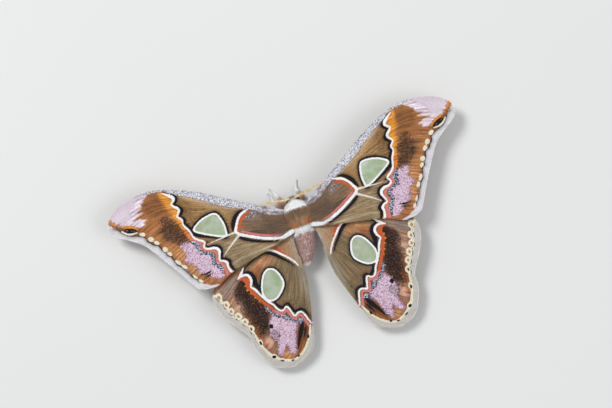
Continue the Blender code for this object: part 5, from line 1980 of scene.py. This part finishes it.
@dataclass(frozen=True)
class Lamp:
    """A square lamp that faces the origin; its place and size are in metres."""

    name: str
    place: tuple[float, float, float]
    size: float
    power: float

    def hang(self) -> None:
        """Put the lamp in the scene."""
        data = bpy.data.lights.new(self.name, "AREA")
        data.size = self.size
        data.energy = self.power
        lamp = put(self.name, data)
        lamp.location = self.place
        lamp.rotation_euler = (-Vector(self.place)).to_track_quat("-Z", "Y").to_euler()


@dataclass
class Studio:
    """A pale floor, soft lights and a camera straight above the moth."""

    centre: Span = (3.96, 14.9)
    field_width: float = 213.6
    level: float = 9.0
    distance: float = 700.0
    tilt: float = -19.5
    sensor: float = 36.0
    lamps: tuple[Lamp, ...] = (Lamp("key", (-0.5, 0.9, 1.2), 0.5, 14.6),
                               Lamp("fill", (0.9, -0.4, 1.0), 0.9, 4.6))
    sky: tuple[float, ...] = (0.93, 0.96, 1.0, 1.0)
    sky_strength: float = 0.46

    def camera(self) -> None:
        """Look straight down, turned as the moth is turned in the picture."""
        data = bpy.data.cameras.new("camera")
        data.sensor_width = self.sensor
        data.lens = self.sensor * self.distance / self.field_width
        data.clip_start, data.clip_end = 0.01, 20.0
        camera = put("camera", data)
        x, y = self.centre
        camera.location = Vector((x, y, self.level + self.distance)) * MM
        camera.rotation_euler = (0.0, 0.0, math.radians(self.tilt))
        bpy.context.scene.camera = camera

    def floor(self) -> None:
        """A wide plain floor under the feet."""
        shape = bmesh.new()
        bmesh.ops.create_grid(shape, x_segments=8, y_segments=8, size=3.0)
        mesh = bpy.data.meshes.new("floor")
        shape.to_mesh(mesh)
        shape.free()
        mesh.materials.append(Paper("floor_paper", 0.85).material())
        floor = put("floor", mesh)
        floor.location.z = -0.0001

    def lights(self) -> None:
        """A broad key light, a fill and an even sky."""
        world = bpy.data.worlds.new("sky")
        world.use_nodes = True
        background = world.node_tree.nodes["Background"]
        background.inputs["Color"].default_value = self.sky
        background.inputs["Strength"].default_value = self.sky_strength
        bpy.context.scene.world = world
        for lamp in self.lamps:
            lamp.hang()
        bpy.context.scene.view_settings.view_transform = "Standard"


@dataclass
class Silkmoth:
    """The whole moth, built piece by piece in order."""

    hair: bpy.types.Material = field(
        default_factory=lambda: Hair("moth_hair", 0.75, specular=0.25).material())
    wing_hair: float = 3.0

    def build(self) -> None:
        """Build every piece."""
        self.wings()
        self.body()
        self.head_pieces()
        self.legs()

    def wings(self) -> None:
        """Four wings with their films, fringes and basal hair."""
        scales = WingScales("wing_scales", 0.72, specular=0.2).material()
        film = WindowFilm("window_film", 0.32, alpha=0.42).material()
        fore, hind = PaintedPlan(FOREWING, 200, 130), PaintedPlan(HINDWING, 150, 120)
        for side, word in ((1, "right"), (-1, "left")):
            for painted, pair, turn, far in (
                    (fore, "forewing", 0.0, 10.0),
                    (hind, "hindwing", 3.0 if side < 0 else 0.0, 9.5)):
                wing = Wing(f"{pair}_{word}_scales", painted, side, turn)
                settle(wing.name, wing.membrane(), scales, (f"{pair}_{word}",))
                settle(f"{pair}_{word}_window", wing.film(), film)
                fringe = Coat(f"{pair}_{word}_fringe", Scatter.POINTS, thickness=0.13,
                              spread=0.25)
                settle(fringe.name, fringe.grow(wing.fringe(), self.hair), self.hair)
                basal = Coat(f"{pair}_{word}_hair", density=2.4e7, thickness=0.09,
                             spread=0.12)
                roots = wing.basal(self.wing_hair, far)
                settle(basal.name, basal.grow(roots, self.hair), self.hair)

    def body(self) -> None:
        """The skin and its coats."""
        body = Body()
        skin = body.skin()
        for name, low, high, slot, density, thick in (
                ("thorax_coat", -7.2, 9.0, "thorax_hair", 4.6e7, 0.1),
                ("abdomen_coat", -25.0, -6.6, "abdomen_scale", 5.4e7, 0.13)):
            coat = Coat(name, density=density, thickness=thick, spread=0.16)
            settle(name, coat.grow(body.part_of(skin, f"{name}_ground", low, high), self.hair),
                   self.hair)
        settle("body_skin", skin, Skin("moth_skin", 0.8, level=0.95).material(),
               ("head", "thorax", "abdomen"))

    def head_pieces(self) -> None:
        """Eyes, feelers and palps."""
        gloss = EyeGloss("eye_gloss", 0.22, coat=0.35).material()
        horn = Cuticle("feeler_horn", 0.5).material()
        skin = Skin("palp_skin", 0.7, level=0.6).material()
        for side, word in ((1, "right"), (-1, "left")):
            settle(f"eye_{word}_ball", Eye(side).mesh(), gloss, (f"eye_{word}",))
            feeler = Feeler(side)
            settle(f"feeler_{word}_shaft", feeler.shaft(), horn,
                   (f"antenna_{word}",))
            comb = Coat(f"feeler_{word}_comb", Scatter.POINTS, thickness=0.115, spread=0.06,
                        roof=0.8)
            settle(comb.name, comb.grow(feeler.teeth(), horn), horn)
            palp = Palp(side).mesh()
            hair = Coat(f"palp_{word}_hair", density=5.0e7, thickness=0.075, spread=0.18)
            settle(hair.name, hair.grow(palp.copy(), self.hair), self.hair)
            settle(f"palp_{word}_limb", palp, skin)

    def legs(self) -> None:
        """Six legs and their hair."""
        skin = Skin("leg_skin", 0.6, level=0.6).material()
        for number, (name, path) in enumerate(LEG_PATHS.items()):
            leg = Leg(name, path)
            mesh = leg.shaft()
            leg.write(mesh, number)
            hair = Coat(f"{name}_hair", density=4.5e7, thickness=0.07, spread=0.2)
            settle(hair.name, hair.grow(mesh.copy(), self.hair), self.hair)
            settle(f"{name}_limb", mesh, skin, (name,))


def main() -> None:
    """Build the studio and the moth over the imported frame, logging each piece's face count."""
    logging.basicConfig(level=logging.INFO, format="%(name)s: %(message)s")
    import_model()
    studio = Studio()
    studio.camera()
    studio.floor()
    studio.lights()
    Silkmoth().build()


if __name__ == "__main__":
    main()
